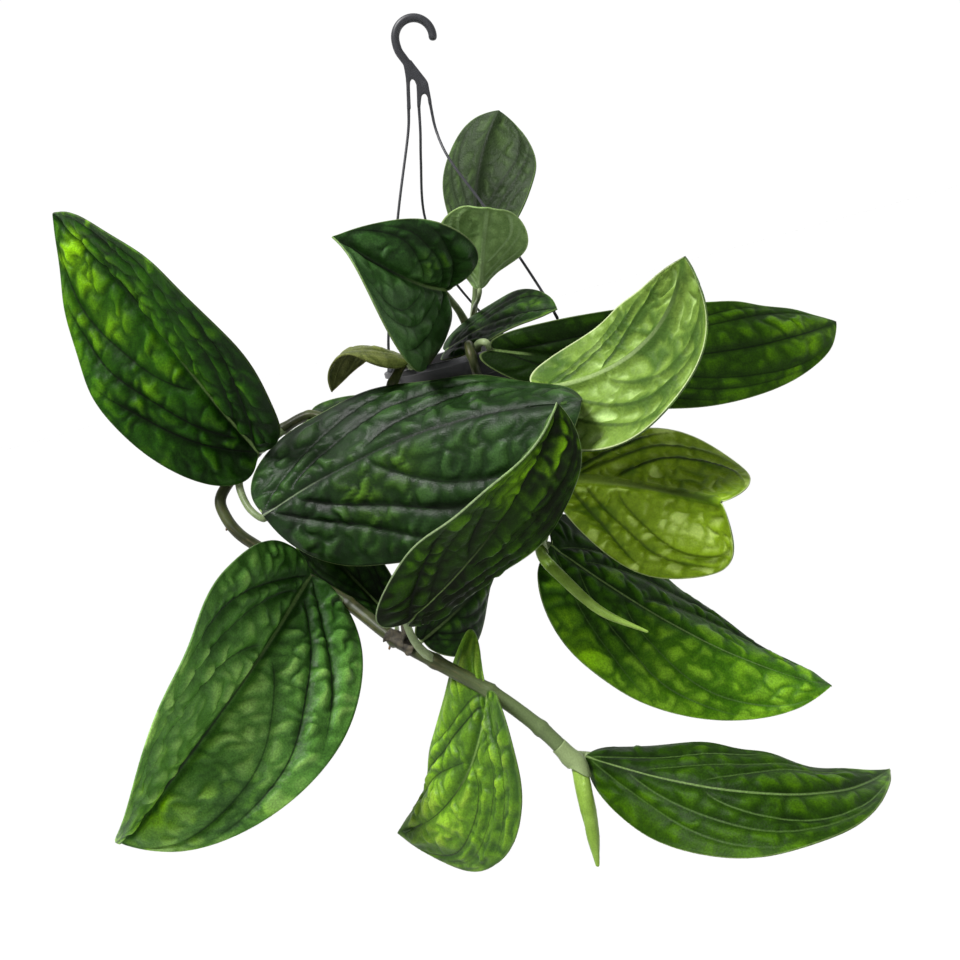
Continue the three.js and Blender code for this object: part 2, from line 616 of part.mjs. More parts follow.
// Soil: fills the pot, with a lumpy top and a hole for every stem that stands in it
function makeSoil() {
  const top = -SOIL_BELOW_RIM;
  const slope = (POT_INNER_TOP - POT_INNER_BASE) / -POT_FLOOR;
  const innerAt = (height) => POT_INNER_TOP + slope * height - GAP;
  const fill = turned([
    [0, POT_FLOOR + GAP],
    [innerAt(POT_FLOOR) - 1, POT_FLOOR + GAP],
    [innerAt(POT_FLOOR + 2), POT_FLOOR + 2],
    [innerAt(top), top],
    [46, top + 0.6],
    [34, top + 0.4],
    [22, top - 0.4],
    [10, top + 0.6],
    [0, top + 0.4],
  ], 24);
  const position = fill.getAttribute('position');
  for (let i = 0; i < position.count; i++) {
    const [x, y, z] = [position.getX(i), position.getY(i), position.getZ(i)];
    const radius = Math.hypot(x, y);
    if (z < top - 3 || radius < 1 || radius > 50) continue;
    const wave = Math.sin(x * 0.21 + 1) * Math.cos(y * 0.17) + Math.sin(x * 0.09 - y * 0.31);
    position.setZ(i, z + (SOIL_LUMP * wave) / 2);
  }
  fill.translate(POT_AXIS.x, POT_AXIS.y, RIM_TOP);
  return cut(solidFrom(fill), Object.values(VINES).map((vine) => makeStem(vine, GAP)));
}

// Materials
const plastic = (color) => new THREE.MeshStandardMaterial({ color, roughness: 0.55, metalness: 0 });
const plant = (color) => new THREE.MeshStandardMaterial({ color, roughness: 0.45, metalness: 0 });
const earth = (color) => new THREE.MeshStandardMaterial({ color, roughness: 1, metalness: 0 });

const LEAF_GREEN = 0x35531f;
const PALE_GREEN = 0x8a9c5e;
const STEM_GREEN = 0x6f7d3f;
const SPEAR_GREEN = 0xb9c26a;
const YOUNG_LEAVES = ['leaf_top_new', 'leaf_pale_upper', 'leaf_pale_lower'];

// Scene
const plantAndPot = new THREE.Group();

function addPiece(name, solid, material, place = new THREE.Vector3()) {
  const geometry = geometryFrom(solid);
  geometry.translate(-place.x, -place.y, -place.z);
  const mesh = new THREE.Mesh(geometry, material);
  mesh.name = name;
  mesh.position.copy(place);
  plantAndPot.add(mesh);
}

Object.values(LEAVES).forEach((leaf) => {
  leaf.axes = leafAxes(leaf);
});

const rimCentre = POT_AXIS.clone().setZ(RIM_TOP);
const placedPot = solidFrom(geometryFrom(makePot()).translate(...rimCentre.toArray()));
addPiece('hanger', makeHanger(), plastic(0x2c2c2e));
addPiece('pot', placedPot, plastic(0x3a383d), rimCentre);
addPiece('soil', makeSoil(), earth(0x3a2d22), rimCentre);
Object.entries(VINES).forEach(([name, vine]) => {
  addPiece(name, makeVine(vine), plant(STEM_GREEN), vec(vine.stem[0]));
});
Object.entries(SPEARS).forEach(([name, spear]) => {
  addPiece(name, makeSpear(spear), plant(SPEAR_GREEN), spearRoute(spear)[0]);
});
Object.entries(LEAVES).forEach(([name, leaf]) => {
  const color = YOUNG_LEAVES.includes(name) ? PALE_GREEN : LEAF_GREEN;
  addPiece(name, makeBlade(leaf), plant(color), leaf.axes.base);
});

export default plantAndPot;
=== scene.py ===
import math
from typing import NamedTuple

import bpy
import numpy as np
from mathutils import Matrix, Vector


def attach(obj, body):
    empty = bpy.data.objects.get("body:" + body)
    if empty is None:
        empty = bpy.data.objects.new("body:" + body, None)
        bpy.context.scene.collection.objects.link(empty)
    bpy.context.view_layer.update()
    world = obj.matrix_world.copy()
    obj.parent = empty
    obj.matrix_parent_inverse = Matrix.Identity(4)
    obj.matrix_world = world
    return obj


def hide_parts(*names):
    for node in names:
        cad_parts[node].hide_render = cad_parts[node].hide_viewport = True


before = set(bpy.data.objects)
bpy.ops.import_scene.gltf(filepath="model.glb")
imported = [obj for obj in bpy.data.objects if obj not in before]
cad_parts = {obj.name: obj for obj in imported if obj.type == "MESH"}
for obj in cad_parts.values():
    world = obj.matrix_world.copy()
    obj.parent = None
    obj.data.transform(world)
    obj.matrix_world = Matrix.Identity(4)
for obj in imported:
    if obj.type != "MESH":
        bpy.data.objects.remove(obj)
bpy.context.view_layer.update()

bl_info = {
    "name": "Potted Monstera karstenianum",
    "version": (1, 0, 0),
    "blender": (4, 5, 0),
    "location": "3D View > Sidebar > Plant",
    "description": "Builds the hanging pot and the plant with its quilted leaves",
    "category": "Add Mesh",
}

MM = 0.001
# Clearance between separate pieces that meet, in millimetres
GAP = 0.3

# Pot and hanger, in millimetres, as on the real object
POT_AXIS = (-7.0, 0.0)
RIM_TOP = -180.0
RIM_RADIUS = 60.0
POT_HEIGHT = 98.0
POT_BASE_RADIUS = 44.5
POT_WALL = 1.2
POT_WALL_TOP_RADIUS = 55.2
FLANGE_THICKNESS = 1.4
LIP_DEPTH = 3.2
SLOT_CIRCLE = 56.95
SLOT_LENGTH = 5.2
SLOT_WIDTH = 2.2
SLOT_ANGLES = {"left": 196, "right": 316, "back": 76}
DRAIN_HOLES = 6
DRAIN_CIRCLE = 30
DRAIN_RADIUS = 3.5
SOIL_BELOW_RIM = 12.0
HOOK_INNER_RADIUS = 8.0
HOOK_ROD_RADIUS = 2.35
WEB_THICKNESS = 2.8
FOOT_TOP = RIM_TOP + 4.6


class Half(NamedTuple):
    """Half a blade: width, rise and curl in degrees at base and tip, and basal lobe."""
    width: float
    rise: tuple
    curl: tuple
    lobe: float


class Leaf(NamedTuple):
    """A blade from base to tip, its upper face towards `face`: outline, bends and skin."""
    base: tuple
    tip: tuple
    face: tuple
    left: Half
    right: Half
    arch: float
    sway: float
    droop: float
    twist: float
    round: float
    taper: float
    look: str
    seed: int
    small: bool = False
    slot: str = "leaf"
    puff: float = 1.1
    relief: float = 0.8
    # base_shade paints shade towards the base; side_shade paints one half lighter and the other
    # darker, as the light falls
    base_shade: float = 0.1
    side_shade: float = 0.0
    ripple: float = 1.0
    pleats: float = 0.0
    spots: tuple = ()


class Vine(NamedTuple):
    """A main stem from the potting mix on, the start of a stalk to each leaf, and extras."""
    stem: tuple
    radii: tuple
    stalks: dict
    bare_nodes: tuple
    roots: tuple = ()
    husks: tuple = ()
    skin: str = "stem"


class Spear(NamedTuple):
    """A rolled new leaf: the vine that it ends, its route and its radii from base to tip."""
    vine: str
    route: tuple
    radii: tuple


# Leaves: arch, sway and droop are shares of the length; round and taper shape the outline.
# A lime spot, partly the leaf's own lime and partly painted light shining through the blade and
# painted sheen, is its place along and across, its reach in millimetres and its strength.
LEAVES = {
    "leaf_left_upper": Leaf(
        (-140, -52, -200), (-202, -56, -56), (-0.44, -0.87, -0.21),
        Half(49, (26, 15), (7, 1), 0.09), Half(49, (16, 26), (2, 7), 0.01),
        arch=0.14, sway=-0.07, droop=0.17, twist=-15, round=0.53, taper=0.76, look="green",
        seed=11, puff=1.3, relief=1.1, base_shade=0.3, side_shade=-0.1,
        spots=((0.87, -0.28, 7, 1.1), (0.77, -0.35, 8, 0.5), (0.6, -0.45, 9, 0.35),
               (0.4, -0.5, 8, 0.3))),
    "leaf_left_lower": Leaf(
        (-128, -77, -267), (-233, -155, -347), (0.4, -0.86, 0.31),
        Half(54, (-3, 21), (-8, 4), 0.04), Half(51, (25, 61), (6, 29), 0.07),
        arch=0.17, sway=0.01, droop=-0.04, twist=-14, round=0.57, taper=0.7, look="sheen",
        seed=23, puff=1.1, relief=1.25, base_shade=0.35,
        spots=((0.88, -0.2, 9, 1.0), (0.9, 0.4, 8, 0.7), (0.75, -0.7, 8, 0.5))),
    "leaf_centre": Leaf(
        (-144, -69, -231), (25, -129, -210), (-0.33, -0.74, 0.59),
        Half(47, (-14, -30), (-1, -9), 0.03), Half(60, (-17, -33), (-4, -10), 0),
        arch=-0.01, sway=0.08, droop=-0.03, twist=-40, round=0.4, taper=0.5, look="blue", seed=5,
        puff=1.45, relief=1.05,
        spots=((0.3, 0.33, 12, 0.22), (0.45, 0.2, 10, 0.15))),
    "leaf_folded_front": Leaf(
        (-80, -125, -291), (13, -139, -207), (0.21, -0.9, -0.38),
        Half(36, (-1, 37), (-7, 27), 0.13), Half(37, (-36, 9), (-23, -2), 0.07),
        arch=0.03, sway=-0.05, droop=-0.06, twist=18, round=0.6, taper=0.65, look="folded",
        seed=31, puff=1.2, relief=0.9, base_shade=0.4, side_shade=-0.12, pleats=1.4,
        spots=((0.72, -0.25, 12, 0.4), (0.86, 0.5, 9, 0.7))),
    "leaf_pale_upper": Leaf(
        (12, -81, -206), (85, -135, -159), (0.7, 0.57, -0.43),
        Half(42, (-3, -1), (1, -29), 0.09), Half(32, (11, 6), (5, -10), 0.14),
        arch=-0.02, sway=0.15, droop=-0.26, twist=23, round=0.55, taper=0.7, look="pale", seed=41,
        slot="young_leaf", puff=1.3, relief=1.1),
    "leaf_pale_lower": Leaf(
        (10, -86, -251), (76, -134, -273), (0.4, 0.78, -0.48),
        Half(54, (31, 41), (3, 20), 0.07), Half(42, (11, 38), (-1, 36), 0),
        arch=0.01, sway=-0.04, droop=-0.24, twist=2, round=0.75, taper=0.5, look="olive", seed=43,
        slot="young_leaf", puff=0.9, relief=1.0, base_shade=0.1),
    "leaf_right_back": Leaf(
        (-4, -63, -181), (188, -21, -219), (0.24, -0.96, 0.16),
        Half(29, (15, -21), (3, -13), 0.04), Half(28, (2, 3), (4, 5), 0.07),
        arch=0.04, sway=-0.07, droop=-0.12, twist=-11, round=0.69, taper=0.64, look="dark",
        seed=53, puff=1.4, relief=0.5, base_shade=0.5),
    "leaf_top_back": Leaf(
        (4, 17, -134), (40, 42, -51), (0.25, 0.89, -0.38),
        Half(35, (4, 0), (-15, -4), 0.04), Half(30, (22, 24), (21, 7), 0.07),
        arch=0.01, sway=-0.07, droop=0.09, twist=35, round=0.65, taper=0.56, look="back", seed=61,
        relief=0.45),
    "leaf_top_new": Leaf(
        (-2, -31, -148), (11, -59, -110), (0.28, 0.81, 0.51),
        Half(25, (42, 11), (15, -1), 0), Half(26, (33, 3), (11, -5), 0.05),
        arch=0.03, sway=-0.01, droop=-0.02, twist=0, round=0.64, taper=0.66, look="young",
        seed=71, slot="young_leaf", small=True, relief=0.5, ripple=3.0),
    "leaf_top_front": Leaf(
        (-20, -40, -145), (-67, -89, -106), (0.67, -0.73, -0.12),
        Half(44, (-8, 35), (-9, 10), 0.36), Half(34, (37, 21), (12, 4), 0.08),
        arch=0.1, sway=0.09, droop=-0.05, twist=36, round=0.47, taper=0.85, look="front", seed=73,
        puff=1.3, side_shade=-0.24,
        spots=((0.33, 0.48, 7, 0.5),)),
    "leaf_top_right": Leaf(
        (-29, -16, -176), (33, -54, -169), (-0.28, -0.3, 0.91),
        Half(23, (4, 14), (-4, 1), 0.07), Half(22, (-3, 7), (-7, -2), 0.07),
        arch=0.05, sway=0.05, droop=-0.02, twist=0, round=0.57, taper=0.75, look="shade", seed=83,
        small=True),
    "leaf_top_left": Leaf(
        (-49, -46, -174), (-94, -47, -180), (-0.14, 0.17, 0.98),
        Half(21, (-1, -10), (-55, -8), 0.05), Half(19, (-15, -9), (-13, -10), 0.07),
        arch=0.24, sway=0.02, droop=-0.3, twist=61, round=0.59, taper=0.75, look="dull", seed=89,
        small=True, relief=0.5),
    "leaf_rim_left": Leaf(
        (-109, -33, -191), (-61, -46, -204), (-0.03, -0.73, 0.69),
        Half(15, (6, 7), (-3, -3), 0.07), Half(17, (13, -9), (1, -10), 0.07),
        arch=0.01, sway=-0.01, droop=0.03, twist=16, round=0.57, taper=0.8, look="shade", seed=97,
        small=True),
    "leaf_right_lower": Leaf(
        (-3, -75, -286), (115, -108, -388), (0.22, -0.82, 0.53),
        Half(46, (-19, -41), (-14, -27), 0.07), Half(47, (10, -10), (-1, -11), 0.02),
        arch=-0.01, sway=-0.02, droop=0.17, twist=-1, round=0.44, taper=0.69, look="mid",
        seed=101, puff=1.25, relief=0.75, base_shade=0.3, side_shade=0.18,
        spots=((0.25, 0.95, 15, 0.9),)),
    "leaf_bottom_right": Leaf(
        (-16, -121, -383), (131, -120, -434), (0.17, -0.87, 0.46),
        Half(31, (-46, -18), (-30, -16), 0.02), Half(30, (-7, 40), (-8, 35), 0),
        arch=0.28, sway=-0.11, droop=-0.02, twist=-38, round=0.51, taper=1.01, look="deep",
        seed=103, puff=1.3, relief=0.6, base_shade=0.1, side_shade=0.12),
    "leaf_bottom": Leaf(
        (-55, -119, -338), (-121, -99, -407), (-0.54, -0.79, 0.28),
        Half(41, (26, -13), (15, -12), 0.04), Half(33, (7, -34), (-7, -25), 0.35),
        arch=0.04, sway=0.17, droop=-0.04, twist=-13, round=0.48, taper=0.71, look="bright",
        seed=107, relief=1.0, side_shade=0.14, pleats=-1.0,
        spots=((0.45, 0.5, 16, 0.5),)),
    "leaf_shade_right": Leaf(
        (-80, -92, -312), (-32, -58, -294), (0.53, -0.83, 0.15),
        Half(20, (31, 8), (10, -2), 0.07), Half(22, (15, -38), (2, -25), 0.02),
        arch=0.04, sway=-0.02, droop=0.02, twist=22, round=0.56, taper=0.85, look="shade",
        seed=109, small=True),
    # A small leaf painted dark with the shade look, put where only deep shade shows under the
    # centre leaf
    "leaf_shade_left": Leaf(
        (-96, -61, -305), (-135, -30, -244), (-0.04, -0.9, 0.43),
        Half(20, (43, 15), (16, 1), 0.06), Half(19, (19, 16), (4, 2), 0.07),
        arch=0.04, sway=0, droop=0, twist=-18, round=0.58, taper=0.81, look="shade", seed=113,
        small=True),
}

# Vines: bare nodes lie at millimetres along the stem; roots and husks are place and direction
VINES = {
    "vine_trailing": Vine(
        ((-37, -10, -206), (-39, -13, -192), (-46, -25, -180), (-53, -36, -176.4),
         (-61, -45.5, -184), (-70, -44.5, -195), (-84, -42, -200), (-96, -38, -197),
         (-111, -32, -190), (-126, -33, -193), (-144, -38, -201), (-160, -42, -211),
         (-168, -48, -220), (-167, -52, -229), (-162, -56, -239), (-152, -59, -250),
         (-136, -64, -267), (-113, -78, -287), (-93, -97, -306), (-74, -108, -321),
         (-53, -116, -339), (-34, -122, -362), (-24, -126, -378)),
        (2.4, 3.8), {
            "leaf_left_upper": ((-126, -33, -193), (-134, -41, -197)),
            "leaf_left_lower": ((-113, -78, -287), (-122, -77, -279)),
            "leaf_centre": ((-144, -38, -201), (-155, -46, -211), (-153, -56, -226)),
            "leaf_folded_front": ((-76, -107, -320), (-82, -112, -306)),
            "leaf_rim_left": ((-111, -32, -190), (-111, -33, -193)),
            "leaf_top_left": ((-43, -20, -184), (-43, -33, -177)),
            "leaf_bottom_right": ((-34, -122, -362), (-25, -121, -378)),
            "leaf_bottom": ((-53, -116, -339), (-55, -117, -340)),
            "leaf_shade_right": ((-93, -97, -306), (-84, -94, -312)),
            "leaf_shade_left": ((-93, -97, -306), (-93, -82, -307)),
        }, (30, 62),
        roots=(((-165, -53, -231), (-0.6, -0.2, -0.7)), ((-136, -64, -268), (-0.3, 0.4, -0.8)),
               ((-96, -95, -305), (-0.1, 0.3, -0.9)), ((-56, -116, -338), (-0.2, 0.3, -0.8))),
        husks=(((-90, -100, -308), (0.8, -0.5, -0.6)), ((-84, -104, -301), (0.3, -0.2, 0.9)))),
    "vine_right": Vine(
        ((-15, -38, -206), (-15, -43, -190), (-16, -50, -177), (-17, -58, -175.4),
         (-17, -63.2, -182), (-16.5, -59.5, -191), (-15, -59, -199), (-11, -66, -218),
         (-8, -76, -238), (-7, -81, -259), (-9, -86, -275)),
        (2.4, 2.4), {
            "leaf_pale_upper": ((-11, -66, -217), (-2, -74, -215)),
            "leaf_pale_lower": ((-8, -77, -240), (2, -82, -246)),
            "leaf_right_lower": ((-8, -83, -266), (-5, -79, -278)),
            "leaf_right_back": ((-16, -47, -184), (-12, -56, -176), (-8, -64, -176)),
        }, (20, 47),
        roots=(((-12, -64, -214), (0.1, 0.8, -0.6)), ((-8, -78, -247), (0.1, 0.8, -0.6))),
        husks=(((-8, -76, -237), (0.2, -0.4, -0.9)),)),
    "vine_top": Vine(
        ((-10, 18, -206), (-11, 16, -190), (-12, 14, -178), (-12, 13, -168)),
        (2.6, 2.2), {
            "leaf_top_front": ((-12, 13, -170), (-16, -10, -157)),
            "leaf_top_new": ((-12, 13, -172), (-8, 0, -160)),
            "leaf_top_back": ((-12, 13, -172), (-4, 15, -152)),
            "leaf_top_right": ((-12, 14, -182), (-26, 0, -183)),
        }, (22,), skin="stalk"),
}
SPEARS = {
    "spear_right": Spear(
        "vine_right", ((-10, -95, -285), (-4, -106, -295), (9, -121, -312), (28, -133, -325)),
        (2.1, 3.0, 2.7, 1.9, 0.6)),
    "spear_bottom": Spear(
        "vine_trailing", ((-22, -134, -397), (-23, -138, -413), (-25, -142, -430)),
        (3.2, 4, 4, 3, 0.8)),
}

STRANDS = {
    "left": ((-12.4, 0, -40), (-13.6, 0, -45), (-16, 0, -53), (-34.5, -9, -97.5),
             (-58.5, -15, -162)),
    "right": ((-0.6, 0, -40), (-0.9, 0, -45), (-1.5, 0, -57), (0.5, -7, -73.5),
              (12, -17, -105), (23, -27, -137), (31.5, -36, -165)),
    "back": ((-6.2, 0, -39), (-7.6, 0, -45), (-10, 1, -56), (-14, 6, -71), (-20, 18, -99),
             (-17, 32, -128), (-3, 48, -160)),
}


# Small helpers

def clear_selection():
    if bpy.context.object and bpy.context.object.mode != "OBJECT":
        bpy.ops.object.mode_set(mode="OBJECT")
    bpy.ops.object.select_all(action="DESELECT")


def only(piece):
    clear_selection()
    piece.select_set(True)
    bpy.context.view_layer.objects.active = piece


def unit(vectors):
    vectors = np.asarray(vectors, float)
    return vectors / np.linalg.norm(vectors, axis=-1, keepdims=True)


def smoothstep(low, high, value):
    t = np.clip((value - low) / (high - low), 0, 1)
    return t * t * (3 - 2 * t)


def bell(distance, reach):
    """1 at no distance, falling softly to nothing past the reach."""
    return np.exp(-(distance / reach) ** 2)


def linear(hexcode):
    """sRGB hex colour to linear RGBA."""
    parts = [int(hexcode[i:i + 2], 16) / 255 for i in (1, 3, 5)]
    parts = [p / 12.92 if p <= 0.04045 else ((p + 0.055) / 1.055) ** 2.4 for p in parts]
    return (*parts, 1.0)


def smooth_noise(points, seed, size, octaves=3):
    """Soft noise about -1 to 1 at points in millimetres."""
    rng = np.random.default_rng(seed)
    total = np.zeros(len(points))
    weight = 0.0
    for octave in range(octaves):
        share = 0.55 ** octave
        for _ in range(4):
            direction = unit(rng.normal(size=3)) * 2 ** octave / size
            total += share * np.sin(2 * math.pi * points @ direction + rng.uniform(0, 6.28)) / 2
        weight += share
    return total / weight


def cells(u, v, seed):
    """Distance to the border and a random value of the cell that each place lies in."""
    table = np.random.default_rng(seed).random((64, 64, 3))
    iu, iv = np.floor(u).astype(int), np.floor(v).astype(int)
    best = np.full(u.shape, 9.0)
    second = best.copy()
    pick = np.zeros(u.shape)
    for du in (-1, 0, 1):
        for dv in (-1, 0, 1):
            cell = table[(iu + du) % 64, (iv + dv) % 64]
            distance = np.hypot(iu + du + 0.2 + 0.6 * cell[..., 0] - u,
                                iv + dv + 0.28 + 0.44 * cell[..., 1] - v)
            closer = distance < best
            second = np.where(closer, best, np.minimum(second, distance))
            pick = np.where(closer, cell[..., 2], pick)
            best = np.minimum(best, distance)
    return second - best, pick


def places_of(piece):
    """Places of a piece's vertices, in metres."""
    places = np.empty(len(piece.data.vertices) * 3)
    piece.data.vertices.foreach_get("co", places)
    return places.reshape(-1, 3)


def put(piece, points):
    """Moves a piece's vertices to points in millimetres."""
    piece.data.vertices.foreach_set("co", (np.asarray(points) * MM).ravel())
    piece.data.update()


def new_grid(name, columns, rows):
    """A grid primitive, and the place of each of its vertices across and along it."""
    clear_selection()
    bpy.ops.mesh.primitive_grid_add(x_subdivisions=columns, y_subdivisions=rows, size=2)
    piece = bpy.context.active_object
    piece.name = piece.data.name = name
    places = places_of(piece)
    return piece, places[:, 0], (places[:, 1] + 1) / 2


def flat_bar(corners, step):
    """A flat face through corners, extruded by a step, both in millimetres."""
    clear_selection()
    bpy.ops.mesh.primitive_circle_add(vertices=len(corners), radius=0.01, fill_type="NGON")
    bar = bpy.context.active_object
    put(bar, corners)
    bpy.ops.object.mode_set(mode="EDIT")
    bpy.ops.mesh.select_all(action="SELECT")
    bpy.ops.mesh.extrude_region_move(TRANSFORM_OT_translate={"value": [k * MM for k in step]})
    bpy.ops.mesh.select_all(action="SELECT")
    bpy.ops.mesh.normals_make_consistent(inside=False)
    bpy.ops.object.mode_set(mode="OBJECT")
    return bar


def attribute(piece, name, values):
    layer = piece.data.attributes.new(name, "FLOAT", "POINT")
    layer.data.foreach_set("value", np.asarray(values, np.float32))


def merge_doubles(piece, distance=0.00001):
    only(piece)
    bpy.ops.object.mode_set(mode="EDIT")
    bpy.ops.mesh.select_all(action="SELECT")
    bpy.ops.mesh.remove_doubles(threshold=distance)
    bpy.ops.mesh.normals_make_consistent(inside=False)
    bpy.ops.object.mode_set(mode="OBJECT")


def apply_modifier(piece, kind, **settings):
    only(piece)
    modifier = piece.modifiers.new(kind.title(), kind)
    for key, value in settings.items():
        setattr(modifier, key, value)
    bpy.ops.object.modifier_apply(modifier=modifier.name)


def shade(piece, angle=None):
    only(piece)
    if angle is None:
        bpy.ops.object.shade_smooth()
    else:
        bpy.ops.object.shade_smooth_by_angle(angle=math.radians(angle))


def join(pieces, name):
    clear_selection()
    for piece in pieces:
        piece.select_set(True)
    bpy.context.view_layer.objects.active = pieces[0]
    if len(pieces) > 1:
        bpy.ops.object.join()
    pieces[0].name = pieces[0].data.name = name
    return pieces[0]


def paint(piece, *keys):
    for key in keys:
        piece.data.materials.append(MATERIALS[key])
    return piece


def settle(piece, node):
    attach(piece, "root")
    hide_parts(node)


# Routes and the round bodies along them

def smooth_route(points, spacing):
    """Even places on a centripetal curve through points, and two directions across it."""
    points = np.asarray(points, float)
    padded = np.vstack([2 * points[0] - points[1], points, 2 * points[-1] - points[-2]])
    fine = []
    for p0, p1, p2, p3 in zip(padded, padded[1:], padded[2:], padded[3:]):
        d0, d1, d2 = [max(np.linalg.norm(b - a), 1e-6) ** 0.5
                      for a, b in ((p0, p1), (p1, p2), (p2, p3))]
        start = ((p1 - p0) / d0 - (p2 - p0) / (d0 + d1) + (p2 - p1) / d1) * d1
        end = ((p2 - p1) / d1 - (p3 - p1) / (d1 + d2) + (p3 - p2) / d2) * d1
        t = np.linspace(0, 1, 40, endpoint=False)[:, None]
        fine.append(p1 + start * t + (-3 * p1 + 3 * p2 - 2 * start - end) * t ** 2
                    + (2 * p1 - 2 * p2 + start + end) * t ** 3)
    fine = np.vstack([*fine, points[-1:]])
    length = np.concatenate([[0], np.cumsum(np.linalg.norm(np.diff(fine, axis=0), axis=1))])
    count = max(3, int(round(length[-1] / spacing)) + 1)
    along = np.linspace(0, length[-1], count)
    places = np.stack([np.interp(along, length, fine[:, k]) for k in range(3)], axis=1)
    tangent = unit(np.gradient(places, axis=0))
    normal = np.empty_like(tangent)
    guess = np.array([0.0, 0.0, 1.0]) if abs(tangent[0][2]) < 0.9 else np.array([1.0, 0.0, 0.0])
    for k in range(count):
        guess = unit(guess - tangent[k] * (guess @ tangent[k]))
        normal[k] = guess
    return along, places, normal, np.cross(tangent, normal)


def tube(name, points, radius, sides, spacing):
    """A closed round body along a route; radius(s, length, angle) is in millimetres."""
    along, places, normal, binormal = smooth_route(points, spacing)
    rows = len(along) - 1
    piece, across, share = new_grid(name, sides, rows)
    ring = np.rint(share * rows).astype(int)
    angle = math.pi * (across + 1)
    s = along[ring]
    r = np.where((ring == 0) | (ring == rows), 0, radius(s, along[-1], angle))
    spread = np.cos(angle)[:, None] * normal[ring] + np.sin(angle)[:, None] * binormal[ring]
    put(piece, places[ring] + spread * r[:, None])
    attribute(piece, "run", s * MM)
    merge_doubles(piece, 0.000002)
    return piece


def rounded_ends(s, length, radius, start=True):
    """Radius that closes over a rounded end instead of a flat one."""
    r = np.array(radius, float)
    for gap in (s, length - s) if start else (length - s,):
        r = r * np.sqrt(np.clip(1 - (1 - np.clip(gap / (0.9 * radius), 0, 1)) ** 2, 0, 1))
    return r


# Leaf surface: x runs from base, 0, to tip, 1, and v from the left margin, -1, to the right, 1

DRIP_TIP = 0.45
DRIP_TIP_REACH = 0.025
LOBE_SPREAD = 1.7
LOBE_PEAK = 0.067
# Side veins of one half, inner ones first: where each leaves the midrib and meets the margin
SIDE_VEINS = ((0.31, 1.16), (0.11, 0.93), (0.0, 0.60))
VEIN_BEND = 0.58
# Furrows above midrib and veins, and the ridge of the midrib below, in millimetres
VEIN_FURROW = 2.6
MIDRIB_FURROW = 2.2
RIDGE_HEIGHT = 0.8
RIDGE_REACH = 0.85
# Pillows: how much and over which length they wander, their slant, and the puckers on each
WARP_SHARE, WARP_SIZE = 0.34, 17
SWAY_SHARE, SWAY_SIZE = 0.30, 13
PILLOW_SLANT = 0.4
CELL_SHIFT = 31
PUCKERS = 2.1
# Below this half width the relief fades; pleats of a folded blade, ripples and broad buckles
NARROW = 14
PLEAT_HEIGHT = 0.55
RIPPLE_HEIGHT, RIPPLE_LENGTH = 0.9, 7.6
BUCKLE_HEIGHT, BUCKLE_SIZE = 0.5, 60
# Small leaves have a coarser mesh and a finer, flatter quilting
BIG_GRID, SMALL_GRID = (72, 172), (40, 96)
SMALL_PILLOWS = 0.8
SMALL_RELIEF = 0.6


def leaf_axes(leaf):
    base = np.array(leaf.base, float)
    chord = np.array(leaf.tip, float) - base
    length = np.linalg.norm(chord)
    chord /= length
    up = np.array(leaf.face, float)
    up = unit(up - chord * (up @ chord))
    return base, chord, length, up, np.cross(up, chord)


def midrib(leaf, x):
    base, chord, length, up, side = leaf_axes(leaf)
    x = np.asarray(x, float)[:, None]
    bow = 4 * x * (1 - x) * length
    lift = bow * leaf.arch + leaf.droop * length * (x ** 4 - x)
    return base + chord * (length * x) + up * lift + side * (bow * leaf.sway)


def midrib_frame(leaf, x):
    """Directions along the midrib, out of the upper face and to the left margin."""
    up = leaf_axes(leaf)[3]
    along = unit(midrib(leaf, x + 1e-4) - midrib(leaf, x - 1e-4))
    up = unit(up - along * (along @ up)[:, None])
    side = np.cross(up, along)
    turn = (math.radians(leaf.twist) * (x - 0.5))[:, None]
    return along, up * np.cos(turn) - side * np.sin(turn), side * np.cos(turn) + up * np.sin(turn)


def half_width(leaf, x):
    """Share of its full width that a half has at x, drawn out to a drip tip."""
    peak = leaf.round / (leaf.round + leaf.taper)
    top = peak ** leaf.round * (1 - peak) ** leaf.taper
    drip_tip = 1 - DRIP_TIP * np.exp(-(1 - x) / DRIP_TIP_REACH)
    return x ** leaf.round * (1 - x) ** leaf.taper / top * drip_tip


def half_values(leaf, left):
    """Width, rise and curl at base and tip, and lobe of the half that each vertex is in."""
    a, b = [(half.width, *half.rise, *half.curl, half.lobe) for half in (leaf.left, leaf.right)]
    return [np.where(left, p, q) for p, q in zip(a, b)]


def blade(leaf, x, v):
    """Places on the smooth upper face."""
    length = leaf_axes(leaf)[2]
    along, up, side = midrib_frame(leaf, x)
    width, rise0, rise1, curl0, curl1, lobe = half_values(leaf, v < 0)
    out = np.abs(v)
    rise = np.radians(rise0 + (rise1 - rise0) * x)
    bend = np.radians(curl0 + (curl1 - curl0) * x)
    bend = np.where(np.abs(bend) < 1e-3, 1e-3, bend)
    across = (np.sin(rise + bend * out) - np.sin(rise)) / bend
    height = (np.cos(rise) - np.cos(rise + bend * out)) / bend
    wide = width * half_width(leaf, x)
    t = x ** (1 / LOBE_SPREAD)
    back = lobe * out * length * t * (1 - t) ** 5 / LOBE_PEAK
    sign = np.where(v < 0, 1.0, -1.0)
    return (midrib(leaf, x) - along * back[:, None] + side * (sign * across * wide)[:, None]
            + up * (height * wide)[:, None])


def blade_normal(leaf, x, v):
    x = np.clip(x, 0.004, 0.996)
    reach = 0.006
    across = (blade(leaf, x, np.clip(v + reach, -1, 1))
              - blade(leaf, x, np.clip(v - reach, -1, 1)))
    along = (blade(leaf, np.clip(x + reach, 0.001, 0.999), v)
             - blade(leaf, np.clip(x - reach, 0.001, 0.999), v))
    return unit(np.cross(across, along))


